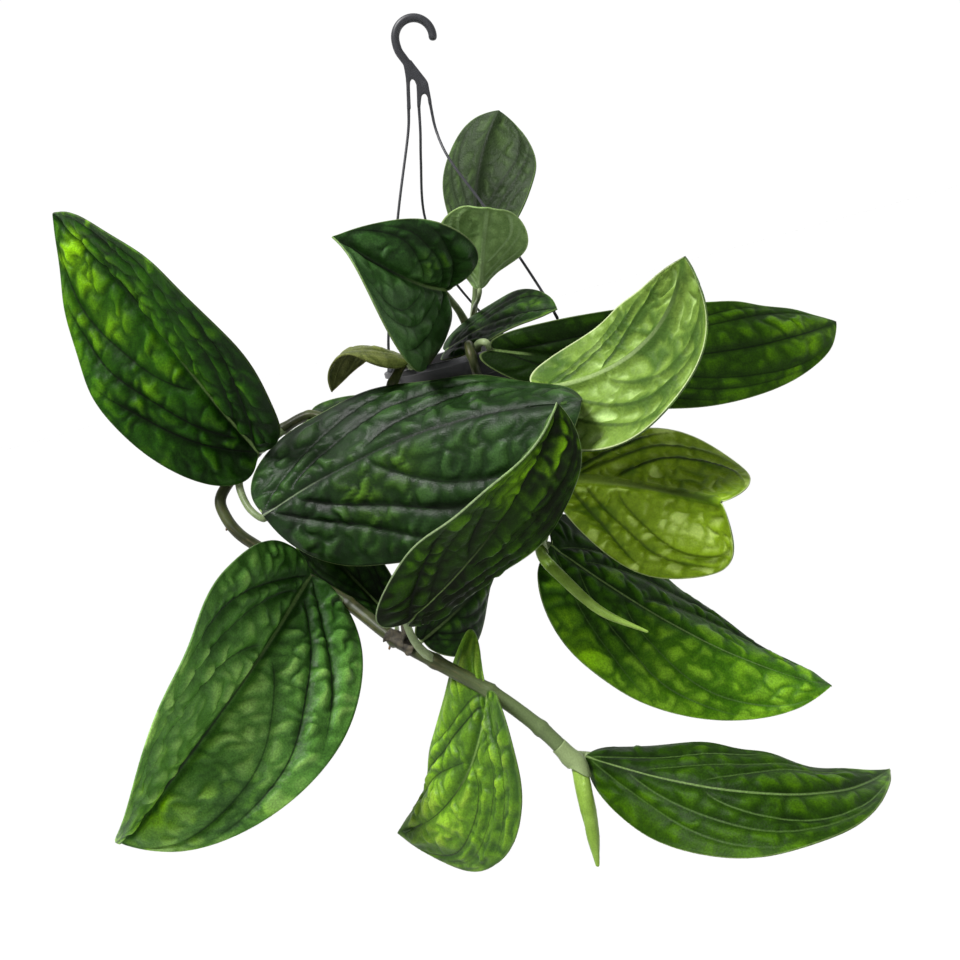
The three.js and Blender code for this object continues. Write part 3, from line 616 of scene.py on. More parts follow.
def vein_net(leaf, x, v):
    """Phase, whole on each vein, and its pitch; furrow depth and strength of the vein at each
    vertex, its distance from that vein and from the midrib, and the width of the half."""
    width = half_values(leaf, v < 0)[0] * half_width(leaf, x)
    a = np.abs(v)
    jitter = np.random.default_rng(leaf.seed).uniform(-1, 1, (2, len(SIDE_VEINS), 3))
    side = (v > 0).astype(int)
    bounds = [np.zeros_like(x)]
    strength = [0.9 * smoothstep(0.1, 0.5, x) * smoothstep(1.0, 0.9, x)]
    for k, (start, finish) in enumerate(SIDE_VEINS):
        start_k = np.clip(start + 0.04 * jitter[side, k, 0], 0, 1)
        finish_k = finish + 0.05 * jitter[side, k, 1]
        grown = np.clip((x - start_k) / (finish_k - start_k), 0, 1)
        place = grown ** VEIN_BEND + 0.012 * np.sin(x * 19 + 5 * jitter[side, k, 2]) * (grown > 0)
        place = np.clip(place, bounds[-1], 1)
        bounds.append(place)
        strength.append(smoothstep(0, 0.05, grown) * smoothstep(1.0, 0.72, place)
                        * smoothstep(1.0, 0.8, x) * (0.75 + 0.25 * jitter[side, k, 2]))
    bounds.append(np.ones_like(x))
    phase = np.zeros_like(x)
    pitch = np.full_like(x, 9.0)
    for low, high in zip(bounds, bounds[1:]):
        high = np.maximum(high, low + 1e-4)
        phase += np.clip((a - low) / (high - low), 0, 1)
        pitch = np.where((a >= low) & (a <= high), (high - low) * width, pitch)
    valley = np.zeros_like(x)
    for bound, depth in zip(bounds[1:-1], strength[1:]):
        valley = np.maximum(valley, depth * bell(np.abs(a - bound) * width, VEIN_FURROW))
    nearest = np.clip(np.rint(phase).astype(int), 0, len(strength))
    line = np.stack([*strength, np.zeros_like(x)])[nearest, np.arange(len(x))]
    cross = np.sin(math.pi * phase) * pitch / math.pi
    return phase, pitch, valley, line, cross, a * width, width


def make_leaf(name, leaf, sizes):
    columns, rows = SMALL_GRID if leaf.small else BIG_GRID
    piece, v, t = new_grid(name + "_blade", columns, rows)
    # Rows lie closer together towards the base and the tip
    x = np.clip(0.55 * t ** 1.6 + 0.45 * (0.5 - 0.5 * np.cos(math.pi * t)), 0, 1)
    length = leaf_axes(leaf)[2]
    phase, pitch, valley, line, cross, off, width = vein_net(leaf, x, v)
    s = x * length
    flat = np.stack([s, np.sign(v) * off, np.zeros_like(s)], axis=1)
    # Pillows between the veins, with small puckers on them
    puff = sizes.pillow_length / MM * (SMALL_PILLOWS if leaf.small else 1.0) * leaf.puff
    warp = WARP_SHARE * smooth_noise(flat, leaf.seed + 1, WARP_SIZE, 2)
    sway = SWAY_SHARE * smooth_noise(flat, leaf.seed + 2, SWAY_SIZE, 2)
    places = np.stack([s / puff + warp + PILLOW_SLANT * off / puff + CELL_SHIFT,
                       np.sign(v) * off / puff + sway + CELL_SHIFT])
    border, pick = cells(*places, leaf.seed)
    dome = smoothstep(0.0, 0.65, border)
    border, small_pick = cells(*places * PUCKERS, leaf.seed + 3)
    pucker = smoothstep(0.0, 0.7, border) * small_pick
    band = np.abs(np.sin(math.pi * phase)) ** 0.6
    band = band + (1 - band) * smoothstep(5.0, 2.0, pitch)
    margin = smoothstep(1.0, 0.8, np.abs(v))
    bulge = band * (0.4 + 0.55 * dome * (0.5 + 0.9 * pick) + 0.13 * pucker) * margin
    bulge = bulge * np.sqrt(np.clip(pitch / 11, 0.05, 1))
    middle = bell(off, MIDRIB_FURROW)
    height = sizes.pillow_height / MM * bulge * (1 - middle)
    height -= sizes.vein_depth / MM * (0.55 * valley + 0.65 * middle) * margin
    # No room for relief where the blade is narrow
    room = np.clip(width / NARROW, 0, 1) * smoothstep(0, 0.05, x) * smoothstep(1.0, 0.93, x)
    strong = leaf.relief * (SMALL_RELIEF if leaf.small else 1.0)
    height *= room * strong
    pleated = smoothstep(0.0, 0.25, v * np.sign(leaf.pleats)) * abs(leaf.pleats)
    pleat = np.cos(4 * math.pi * phase + warp) * pleated * np.clip(pitch / 8, 0, 1)
    height += PLEAT_HEIGHT * pleat * room * smoothstep(1.0, 0.8, x)
    points = blade(leaf, x, v)
    wave = np.sin(s / RIPPLE_LENGTH + leaf.seed) * RIPPLE_HEIGHT * np.abs(v) ** 2
    wave = wave * room * leaf.ripple
    wave = wave + smooth_noise(points, leaf.seed + 5, BUCKLE_SIZE, 2) * BUCKLE_HEIGHT * room
    put(piece, points + blade_normal(leaf, x, v) * (height + wave)[:, None])
    # Tone of the colour: lighter on the pillow tops and pleat ridges, painted light; darker in the
    # furrows, partly painted shade; darker towards the base and on one half, painted shade; all
    # over a random mottling
    tone = 0.46 * dome * (0.4 + 0.7 * pick) + 0.1 * pucker
    tone = tone * (0.35 + 0.65 * band) + 0.12 * smooth_noise(flat, leaf.seed + 9, 48, 2)
    tone = tone - 0.22 * valley - 0.17 * middle + 0.3 + 0.1 * pleat
    tone = tone - leaf.base_shade * smoothstep(0.5, 0.0, x) + leaf.side_shade * v
    spot = np.zeros_like(x)
    for x0, v0, reach, amount in leaf.spots:
        spot += amount * bell(np.hypot(s - x0 * length, (v - v0) * width), reach)
    values = {"vein": line, "cross": cross * MM, "tone": np.clip(tone, 0, 1), "spot": spot,
              "off": off * MM, "edge": (1 - np.abs(v)) * width * MM, "along": x}
    for key, value in values.items():
        attribute(piece, key, value)
    count = len(piece.data.vertices)
    paint(piece, leaf.look, leaf.look + "_under")
    apply_modifier(piece, "SOLIDIFY", thickness=sizes.blade_thickness, offset=-1,
                   use_rim=True, material_offset=1, material_offset_rim=0)
    raise_underside(piece, count, off, x)
    merge_doubles(piece)
    shade(piece)
    settle(piece, name)


def raise_underside(piece, count, off, x):
    """The midrib stands out of the underside as a rounded ridge."""
    places = places_of(piece)
    upper, lower = places[:count], places[count:2 * count]
    inward = unit(lower - upper + 1e-12)
    ridge = RIDGE_HEIGHT * bell(off, RIDGE_REACH) * (1 - x) ** 0.6 * smoothstep(0, 0.02, x)
    places[count:2 * count] = lower + inward * (ridge * MM)[:, None]
    piece.data.vertices.foreach_set("co", places.ravel())
    piece.data.update()


# Materials: noise scales are patterns a metre, so 1100 is a grain of 0.9 mm, widths are metres

SMOOTH = {"interpolation_type": "SMOOTHSTEP"}
COLOUR = {"data_type": "RGBA"}
OVERLAY = {"data_type": "RGBA", "blend_type": "OVERLAY"}
TIMES = {"operation": "MULTIPLY"}
TIMES_PLUS = {"operation": "MULTIPLY_ADD"}
MINUS = {"operation": "SUBTRACT"}
PLUS = {"operation": "ADD"}
MATERIALS = {}


def fill(tree, made, inputs):
    """Links the sockets and sets the values among the inputs of a node."""
    for key, value in inputs.items():
        if isinstance(value, bpy.types.NodeSocket):
            tree.links.new(value, made.inputs[key])
        else:
            made.inputs[key].default_value = value


def add(tree, kind, inputs, out=0, **settings):
    """Adds a shader node with its inputs and settings, and gives one of its outputs."""
    made = tree.nodes.new("ShaderNode" + kind)
    for key, value in settings.items():
        setattr(made, key, value)
    fill(tree, made, inputs)
    return made.outputs[out]


def new_material(name):
    material = bpy.data.materials.new(name)
    material.use_nodes = True
    tree = material.node_tree
    return material, tree, tree.nodes["Principled BSDF"]


def blend_between(tree, value, low, high, colours):
    """One colour below the value low, the other above the value high."""
    share = add(tree, "MapRange", {0: value, 1: low, 2: high}, **SMOOTH)
    colours = [linear(colour) if isinstance(colour, str) else colour for colour in colours]
    return add(tree, "Mix", {0: share, 6: colours[0], 7: colours[1]}, 2, **COLOUR)


def speckled(tree, body, fine, share):
    """A fine light and dark grain over a colour."""
    grain = add(tree, "MapRange", {0: fine, 1: 0.3, 2: 0.7}, **SMOOTH)
    return add(tree, "Mix", {0: share, 6: body, 7: grain}, 2, **OVERLAY)


def leaf_start(name, scales, broad_detail, grain, net_scale):
    """Values from the mesh, three noises, a net, and the tone made uneven by one noise."""
    material, tree, shader = new_material(name)
    at = {key: add(tree, "Attribute", {}, "Fac", attribute_name=key)
          for key in ("tone", "along", "off", "edge", "cross", "vein", "spot")}
    where = add(tree, "TexCoord", {}, "Object")
    noises = zip(("broad", "soft", "fine"), scales, (broad_detail, 3.0, 3.0),
                 (0.55, 0.6, 0.6))
    for key, scale, detail, rough in noises:
        at[key] = add(tree, "TexNoise", {"Vector": where, "Scale": scale,
                                         "Detail": detail, "Roughness": rough})
    centred = add(tree, "Math", {0: at["soft"], 1: 0.5}, **MINUS)
    at["uneven"] = add(tree, "Math", {0: centred, 1: grain, 2: at["tone"]}, **TIMES_PLUS)
    at["net"] = add(tree, "TexVoronoi", {"Vector": where, "Scale": net_scale},
                    feature="DISTANCE_TO_EDGE")
    return material, tree, shader, at


def three_tones(tree, tone, low, middle, high):
    """Three colours after one another as the tone rises."""
    body = blend_between(tree, tone, 0.0, 0.42, (low, middle))
    return blend_between(tree, tone, 0.36, 0.85, (body, high))


def leaf_lines(tree, body, at, vein, midrib, shown, rim, layers):
    """Paints the veins, the midrib as far as it shows and the margin, each with its share."""
    across = add(tree, "Math", {0: at["cross"]}, operation="ABSOLUTE")
    line, inside, middle, reach, margin = [
        add(tree, "MapRange", {0: value, 1: low, 2: high}, **SMOOTH)
        for value, low, high in ((across, vein, vein * 0.2), (at["edge"], 0.001, 0.003),
                                 (at["off"], *midrib), (at["along"], *shown),
                                 (at["edge"], *rim))]
    line = add(tree, "Math", {0: line, 1: at["vein"]}, **TIMES)
    line = add(tree, "Math", {0: line, 1: inside}, **TIMES)
    middle = add(tree, "Math", {0: middle, 1: reach}, **TIMES)
    for mask, (share, colour) in zip((line, middle, margin), layers):
        mask = add(tree, "Math", {0: mask, 1: share}, **TIMES)
        body = add(tree, "Mix", {0: mask, 6: body, 7: linear(colour)}, 2, **COLOUR)
    return body


def leaf_upper(name, look):
    """Leathery quilted leaf: darker in the valleys, partly painted shade, lighter on the pillows,
    partly painted light, and a waxy sheen.
    """
    material, tree, shader, at = leaf_start(name, (62.0, 230.0, 1100.0), 2.0, 0.28, 620.0)
    body = three_tones(tree, at["uneven"], look["valley"], look["body"], look["pillow"])
    # Lime patches, more of them towards the tip and only on the lighter pillows: partly the leaf's
    # own lime, partly painted light shining through the blade
    reach, patch, lit = [
        add(tree, "MapRange", {0: value, 1: low, 2: high}, **SMOOTH)
        for value, low, high in ((at["along"], 0.55, 0.95), (at["broad"], 0.44, 0.7),
                                 (at["uneven"], 0.2, 0.7))]
    reach = add(tree, "Math", {0: reach, 1: look["tip_lime"], 2: look["lime"]}, **TIMES_PLUS)
    glow = add(tree, "Math", {0: patch, 1: reach, 2: at["spot"]}, **TIMES_PLUS)
    glow = add(tree, "Math", {0: glow, 1: lit}, use_clamp=True, **TIMES)
    body = add(tree, "Mix", {0: glow, 6: body, 7: linear(look["lime_colour"])}, 2, **COLOUR)
    # Thin veins, a pale midrib that is strongest near the base, and a thin pale margin
    body = leaf_lines(tree, body, at, 0.00065, (0.0009, 0.0003), (look["midrib_reach"], 0.05),
                      (0.00055, 0.00015), ((0.85, look["vein"]),
                                           (look["midrib_share"], look["midrib"]),
                                           (look["rim_share"], look["rim"])))
    height = add(tree, "MapRange", {0: at["net"], 1: 0, 2: 0.22}, **SMOOTH)
    height = add(tree, "Math", {0: height, 1: 0.6, 2: at["fine"]}, **TIMES_PLUS)
    fill(tree, shader, {
        "Base Color": speckled(tree, body, at["fine"], 0.25),
        "Roughness": add(tree, "Math", {0: at["soft"], 1: 0.22, 2: look["rough"]}, **TIMES_PLUS),
        "Specular IOR Level": look["gloss"],
        "Normal": add(tree, "Bump", {"Strength": 0.25, "Distance": 0.0003, "Height": height})})
    return material


def leaf_under(name, look):
    """Paler matt underside with raised veins and a fine net between them."""
    material, tree, shader, at = leaf_start(name, (34.0, 260.0, 900.0), 3.0, 0.16, 500.0)
    patch = add(tree, "MapRange", {0: at["broad"], 1: 0.4, 2: 0.65}, **SMOOTH)
    patch = add(tree, "Math", {0: patch, 1: 0.2, 2: -0.1}, **TIMES_PLUS)
    uneven = add(tree, "Math", {0: at["uneven"], 1: patch}, **PLUS)
    # The tone brings the painted shade of the leaf to the underside too; on the pale and olive
    # looks the glow colour is painted light shining through
    body = three_tones(tree, uneven, look["under_low"], look["under"], look["under_glow"])
    body = leaf_lines(tree, body, at, 0.0011, (0.0009, 0.0004), (1.0, 0.3), (0.001, 0.0003),
                      ((1.0, look["under_vein"]), (0.5, look["under_midrib"]),
                       (0.8, look["rim"])))
    height = add(tree, "MapRange", {0: at["net"], 1: 0.25, 2: 0.0}, **SMOOTH)
    fill(tree, shader, {
        "Base Color": speckled(tree, body, at["fine"], 0.12),
        "Roughness": 0.55, "Specular IOR Level": 0.15,
        "Normal": add(tree, "Bump", {"Strength": 0.3, "Distance": 0.0003, "Height": height})})
    return material


# Leaf colours: upper face first, then the underside; gloss is the specular level. The valley colour
# takes the painted shade in the furrows and the pillow colour the painted light on the pillow tops;
# shade is a darker copy for leaves that lie in shade
GREEN_LEAF = dict(
    valley="#0a1f02", body="#1b4005", pillow="#396808", lime_colour="#82ba0a", lime=0.14,
    tip_lime=0.5, vein="#040c01", midrib="#7f9a5a", midrib_share=0.5, rim="#90a766",
    rim_share=0.12, rough=0.4, gloss=0.08, midrib_reach=0.6, under="#48632f", under_low="#33501f",
    under_glow="#748c42", under_vein="#31481f", under_midrib="#7d9350")
LOOKS = {
    "green": GREEN_LEAF,
    # Lighter copy: painted light and sheen on a leaf that catches more light, with a real higher
    # gloss
    "sheen": dict(GREEN_LEAF, valley="#21460f", body="#4b7a2e", pillow="#86b156", gloss=0.2,
                  rough=0.34, lime=0.05, tip_lime=0.8),
    "dark": dict(GREEN_LEAF, valley="#0d2000", body="#1a3300", pillow="#2f5000", lime=0.05,
                 tip_lime=0.2, rim_share=0.3, midrib_reach=0.1),
    "blue": dict(GREEN_LEAF, valley="#091605", body="#142c0b", pillow="#304e22", lime=0.02,
                 tip_lime=0.0, midrib="#8fa17c", rough=0.36, gloss=0.18,
                 rim_share=0.4, midrib_reach=0.25),
    "folded": dict(GREEN_LEAF, valley="#0a1400", body="#183100", pillow="#315600", lime=0.1,
                   tip_lime=0.3, rim="#9fb384", rim_share=0.5, gloss=0.1),
    # Lighter lime copy: painted light shining through a leaf that faces the light
    "bright": dict(GREEN_LEAF, valley="#25440a", body="#466a10", pillow="#789828", lime=0.3,
                   tip_lime=0.1, midrib="#8fae5c", gloss=0.2),
    "mid": dict(GREEN_LEAF, valley="#122a03", body="#305805", pillow="#628c1c", lime=0.16,
                tip_lime=0.1, rim_share=0.4, midrib_reach=1.1, vein="#3f5a28"),
    "deep": dict(GREEN_LEAF, valley="#0d2000", body="#1d3800", pillow="#345600", lime=0.06,
                 tip_lime=0.2, rim_share=0.3, midrib_reach=1.1, vein="#46602c"),
    "shade": dict(GREEN_LEAF, valley="#091604", body="#162f08", pillow="#2f4f12", lime=0.05,
                  tip_lime=0.2, rim_share=0.3, gloss=0.12),
    "front": dict(GREEN_LEAF, valley="#132a0a", body="#294b1c", pillow="#4d7040", lime=0.02,
                  tip_lime=0.0, rim_share=0.4, gloss=0.14),
    # Underside darkened: painted shade
    "back": dict(GREEN_LEAF, under="#2b3b1e", under_low="#202e15", under_glow="#3f542a",
                 under_vein="#1c2911", under_midrib="#222c18", rim="#5d7342"),
    # Paler underside, painted brighter still by light shining through from behind
    "pale": dict(GREEN_LEAF, under="#6e8a38", under_low="#3f5c20", under_glow="#a6c276",
                 under_vein="#28400c", under_midrib="#a5bb7c", rim="#c3cf9d"),
    # Underside painted bright by light shining through from behind
    "olive": dict(GREEN_LEAF, under="#7c9a18", under_low="#486804", under_glow="#c2dc70",
                  under_vein="#263a02", under_midrib="#7c9340", rim="#b5c582"),
    "young": dict(GREEN_LEAF, valley="#5d7742", body="#728c52", pillow="#87a566", lime=0.0,
                  tip_lime=0.0, vein="#8ba572", midrib="#98ad7c", under="#66824a",
                  under_low="#5a733e", under_glow="#7f9b5d", under_vein="#809966",
                  under_midrib="#8aa170"),
    "dull": dict(GREEN_LEAF, valley="#3a421f", body="#58602f", pillow="#737a42", lime=0.0,
                 tip_lime=0.0, vein="#6f7546", midrib="#878a58", under="#5e6438",
                 under_low="#484e28", under_glow="#777c4c", under_vein="#6f7546",
                 under_midrib="#8b8d5c", rim="#8f8a5a"),
}


def stem_skin(name, base, light, streak, fresh, rough=0.45, mark=0.7):
    """Stem skin: dark and streaked where it is old, fresh green towards the tip."""
    material, tree, shader = new_material(name)
    run = add(tree, "Attribute", {}, "Fac", attribute_name="run")
    around = add(tree, "SeparateXYZ", {"Vector": add(tree, "TexCoord", {}, "UV")}, "X")
    around = add(tree, "Math", {0: around, 1: 9.0}, **TIMES)
    onward = add(tree, "Math", {0: run, 1: 60.0}, **TIMES)
    skin = add(tree, "CombineXYZ", {"X": around, "Y": onward})
    where = add(tree, "TexCoord", {}, "Object")
    streaks, broad, fine = [
        add(tree, "TexNoise", {"Vector": vector, "Scale": scale, "Detail": detail,
                               "Roughness": rough_share})
        for vector, scale, detail, rough_share in (
            (skin, 2.0, 4.0, 0.5), (where, 60.0, 2.0, 0.55), (where, 1200.0, 2.0, 0.55))]
    body = blend_between(tree, broad, 0.35, 0.7, (base, light))
    marks = add(tree, "MapRange", {0: streaks, 1: 0.5, 2: 0.75}, **SMOOTH)
    marks = add(tree, "Math", {0: marks, 1: mark}, **TIMES)
    body = add(tree, "Mix", {0: marks, 6: body, 7: linear(streak)}, 2, **COLOUR)
    body = blend_between(tree, run, 0.34, 0.40, (body, fresh))
    height = add(tree, "Math", {0: fine, 1: 0.3, 2: streaks}, **TIMES_PLUS)
    fill(tree, shader, {
        "Base Color": speckled(tree, body, fine, 0.1),
        "Roughness": rough, "Specular IOR Level": 0.25,
        "Normal": add(tree, "Bump", {"Strength": 0.3, "Distance": 0.0004, "Height": height})})
    return material


def plastic_skin(name, base, worn, rough, grain):
    """Moulded polypropylene: even colour, satin skin with a faint grain and light scuffs."""
    material, tree, shader = new_material(name)
    where = add(tree, "TexCoord", {}, "Object")
    scuff, fine = [
        add(tree, "TexNoise", {"Vector": where, "Scale": scale, "Detail": detail,
                               "Roughness": share})
        for scale, detail, share in ((130.0, 5.0, 0.7), (2500.0, 2.0, 0.55))]
    fill(tree, shader, {
        "Base Color": blend_between(tree, scuff, 0.5, 0.8, (base, worn)),
        "Roughness": add(tree, "Math", {0: scuff, 1: 0.22, 2: rough}, **TIMES_PLUS),
        "Normal": add(tree, "Bump", {"Strength": grain, "Distance": 0.0001, "Height": fine})})
    return material


def matt_skin(name, dark, light, noise, from_share, rough, bump):
    """A dull fibrous or crumbly stuff: two colours and a relief from one noise."""
    material, tree, shader = new_material(name)
    scale, detail, share = noise
    strength, depth = bump
    crumbs = add(tree, "TexNoise", {"Vector": add(tree, "TexCoord", {}, "Object"),
                                    "Scale": scale, "Detail": detail, "Roughness": share})
    fill(tree, shader, {
        "Base Color": blend_between(tree, crumbs, from_share, 0.7, (dark, light)),
        "Roughness": rough,
        "Normal": add(tree, "Bump", {"Strength": strength, "Distance": depth,
                                     "Height": crumbs})})
    return material


def make_materials():
    for key, look in LOOKS.items():
        MATERIALS[key] = leaf_upper(f"leaf_upper_{key}", look)
        MATERIALS[key + "_under"] = leaf_under(f"leaf_underside_{key}", look)
    # Living skins: corky old stem, green stalks, and the smooth waxy roll of a new leaf
    MATERIALS["stem"] = stem_skin("stem_skin", "#252a13", "#424a28", "#584f30", "#5c6c44")
    MATERIALS["stalk"] = stem_skin("stalk_skin", "#61714a", "#8b9a70", "#6d6c45", "#7c8c5e",
                                   0.45, 0.3)
    MATERIALS["spear"] = stem_skin("rolled_leaf_skin", "#6c8a2e", "#86a446", "#5e7c28",
                                   "#86a446", 0.36, 0.4)
    # Dry papery leaf sheath: brown and fibrous
    MATERIALS["husk"] = matt_skin("dry_sheath", "#1c1a13", "#4a4434", (320.0, 3.0, 0.55), 0.3,
                                  0.8, (0.5, 0.0004))
    # Moist peat with paler fibres, the same crumbs in bark, perlite and root colours
    for key, name, dark, light, scale in (
            ("root", "root_skin", "#5a4630", "#8a7350", 900.0),
            ("soil", "potting_mix", "#1d140d", "#4a3524", 260.0),
            ("bark", "bark_bits", "#3a2616", "#6e4f30", 400.0),
            ("perlite", "perlite", "#b9b5aa", "#e4e1d8", 700.0)):
        MATERIALS[key] = matt_skin(name, dark, light, (scale, 5.0, 0.7), 0.35, 0.95,
                                   (0.9, 0.001))
    # Hanger and pot: black moulded plastic, the pot duller
    MATERIALS["hanger"] = plastic_skin("hanger_plastic", "#2a2b2f", "#3c3d42", 0.36, 0.15)
    MATERIALS["pot"] = plastic_skin("pot_plastic", "#2f2f32", "#47474b", 0.4, 0.2)


# Vines

# Radius of a stalk at its foot in millimetres, and the share of it that is left at the blade
STALK_RADIUS = 2.4
SMALL_STALK_RADIUS = 1.5
STALK_TAPER = 0.72
# Nodes of a main stem: swelling as a share and its length, depth and length of the ring scar
NODE_SWELLING, NODE_LENGTH = 0.17, 2.6
SCAR_DEPTH, SCAR_LENGTH, SCAR_AFTER = 0.22, 0.5, 2.4


def stalk_route(leaf, start_points):
    """Route of a stalk: given points, then up to the underside of the blade at its base."""
    along, up, _ = midrib_frame(leaf, np.array([0.0]))
    end = leaf_axes(leaf)[0] - up[0] * 1.5 + along[0] * 0.8
    return [*start_points, end - up[0] * 3 - along[0] * 3.5, end]


def make_stem(name, points, radii, nodes):
    """Main stem: a swelling with a ring scar at each node, fine ridges in between."""
    start, end = radii

    def radius(s, length, angle):
        r = start + (end - start) * s / length
        for place in nodes:
            r = r * (1 + NODE_SWELLING * bell(s - place, NODE_LENGTH))
            r = r - SCAR_DEPTH * bell(s - place - SCAR_AFTER, SCAR_LENGTH)
        r = r * (1 + 0.025 * np.sin(3 * angle + s / 19) + 0.012 * np.sin(7 * angle - s / 11))
        return rounded_ends(s, length, r, start=False)

    return tube(name, points, radius, 22, 1.3)


def make_stalk(points, thick):
    """Leaf stalk: clasping sheath below, a channel on top, a swollen knee at the blade."""
    def radius(s, length, angle):
        r = thick + (STALK_TAPER * thick - thick) * np.clip(s / length, 0, 1) ** 0.8
        sheath = smoothstep(0.55, 0.0, s / length)
        r = r * (1 + 0.5 * sheath * (bell(angle - 2.2, 0.25) + bell(angle - 4.08, 0.25)))
        r = r * (1 - 0.16 * bell(angle - math.pi, 0.5))
        r = r * (1 + 0.28 * bell(length - s - 2.2, 2.0))
        return rounded_ends(s, length, r)

    return tube("stalk", points, radius, 18, 0.9)


def make_root(place, direction, k):
    """A short aerial root: a crooked brown peg."""
    def radius(s, length, angle):
        return rounded_ends(s, length, 1.0 - 0.45 * s / length + 0.08 * np.sin(2 * angle + s))

    direction = unit(direction)
    place = np.asarray(place, float)
    bend = np.array([math.sin(k * 2.3), math.cos(k * 1.7), -0.6])
    points = [place, place + direction * 3.5, place + direction * 6 + bend * 1.4]
    return tube("root", points, radius, 10, 0.7)


def make_husk(centre, direction, seed):
    """A crumpled strip of dry sheath that clings to the stem."""
    rng = np.random.default_rng(seed)
    piece, across, t = new_grid("husk", 12, 22)
    direction = unit(direction)
    side = unit(np.cross(direction, rng.normal(size=3)))
    out = np.cross(side, direction)
    s = (t - 0.5) * 17
    angle = across * (1.5 - 0.6 * t) + 0.5 * np.sin(t * 6 + seed)
    r = 4.3 + 0.9 * np.sin(5 * across + 9 * t) * t + 0.5 * np.sin(13 * t + 3 * across)
    put(piece, np.asarray(centre, float) + s[:, None] * direction
        + (r * np.cos(angle))[:, None] * out + (r * np.sin(angle))[:, None] * side)
    attribute(piece, "run", s * MM)
    apply_modifier(piece, "SOLIDIFY", thickness=0.0003, offset=0)
    return piece


def make_collar(vine, spear):
    """Green sheath at the stem tip, open on one side, that the rolled leaf grows out of."""
    tip = np.array(vine.stem[-1], float)
    onward = unit(tip - np.array(vine.stem[-2], float))
    route = [tip - onward * 7, tip, tip + onward * 5, *spear.route[:2]]
    spacing = 0.6
    _, places, sides, ups = smooth_route(route, spacing)
    piece, across, t = new_grid("collar", 40, 26)
    angle = math.pi * 0.97 * across
    reach = t * (15 + 5 * np.cos(angle)) / spacing
    step = np.clip(reach, 0, len(places) - 1.001)
    low = step.astype(int)
    share = (step - low)[:, None]
    centre = places[low] * (1 - share) + places[low + 1] * share
    inner = vine.radii[1] * 1.06
    r = inner + (max(spear.radii[1:3]) + 0.8 - inner) * smoothstep(0.2, 0.8, t)
    r = r + 0.5 * across ** 2 * t
    put(piece, centre + (r * np.cos(angle))[:, None] * sides[low]
        + (r * np.sin(angle))[:, None] * ups[low])
    attribute(piece, "run", np.full(len(across), 0.4))
    apply_modifier(piece, "SOLIDIFY", thickness=0.0004, offset=0)
    return piece


def make_vine(name, vine):
    along, places, *_ = smooth_route(vine.stem, 1.0)
    nodes = [along[np.argmin(np.linalg.norm(places - start[0], axis=1))]
             for start in vine.stalks.values()]
    stem = make_stem(name + "_stem", vine.stem, vine.radii, [*nodes, *vine.bare_nodes])
    pieces = [paint(stem, vine.skin)]
    for spear in SPEARS.values():
        if spear.vine == name:
            pieces.append(paint(make_collar(vine, spear), "stalk"))
    for leaf_name, start in vine.stalks.items():
        leaf = LEAVES[leaf_name]
        stalk = make_stalk(stalk_route(leaf, start),
                           SMALL_STALK_RADIUS if leaf.small else STALK_RADIUS)
        pieces.append(paint(stalk, "stalk"))
    for k, (place, direction) in enumerate(vine.roots):
        pieces.append(paint(make_root(place, direction, k), "root"))
    for k, (place, direction) in enumerate(vine.husks):
        pieces.append(paint(make_husk(place, direction, 3 + k), "husk"))
    whole = join(pieces, name + "_plant")
    shade(whole)
    settle(whole, name)


def make_spear(name, spear):
    """A new leaf still rolled up: a slim cone with the free margin winding round it."""
    before, tip = np.array(VINES[spear.vine].stem[-2:], float)
    onward = unit(tip - before)
    points = [tip + onward * GAP, tip + onward * 5, *spear.route]

    def radius(s, length, angle):
        r = np.interp(s / length, np.linspace(0, 1, len(spear.radii)), spear.radii)
        roll = np.mod(angle - s / 16, 2 * math.pi) / (2 * math.pi)
        r = r * (0.93 + 0.16 * roll) + 0.05 * np.sin(5 * angle + s / 9)
        return rounded_ends(s, length, r)

    piece = paint(tube(name + "_leaf", points, radius, 40, 0.7), "spear")
    shade(piece, 50)
    settle(piece, name)


# Hanger

# Outlines: the web as x and z, the tongue and legs of a foot as y and z
WEB_OUTLINE = ((-9.5, -19), (-9.8, -23.6), (-10.2, -27), (-11.0, -31), (-12, -35), (-13.1, -39.5),
               (-14, -43.5), (-11.9, -43.5), (-10.6, -38), (-9.2, -32.2), (-8.3, -29.5),
               (-7.0, -28.4), (-5.9, -29.4), (-5.5, -32), (-6.4, -36), (-8.3, -43.5),
               (-6.3, -43.5), (-5.2, -40.6), (-4.2, -38.4), (-2.9, -37.6), (-1.7, -38.2),
               (-1.3, -40), (-1.8, -43.5), (0.2, -43.5), (0.6, -39), (0.9, -35), (1.1, -33),
               (0.6, -31), (-1.2, -27), (-4.3, -20), (-4.6, -19))
FOOT_OUTLINE = ((-2, 1.2), (-2, -1.8), (-3.7, -8.4), (-2.2, -8.4), (-0.4, -2.6), (0.4, -2.6),
                (2.2, -8.4), (3.7, -8.4), (2, -1.8), (2, 1.2))
# Radius of a strand and of the cone of a foot, below and above, in millimetres
STRAND_RADIUS = 0.86
CONE_RADII = (2.7, 1.0)
# Fineness in metres of the skin that hook, web and strands are fused into
VOXEL = 0.00028
HOOK_NECK = ((-10.1, 0, -12.6), (-8.6, 0, -16.6), (-7, 0, -20.5), (-5.6, 0, -24.5))


def slot_place(name, height):
    angle = math.radians(SLOT_ANGLES[name])
    return (POT_AXIS[0] + SLOT_CIRCLE * math.cos(angle), SLOT_CIRCLE * math.sin(angle), height)


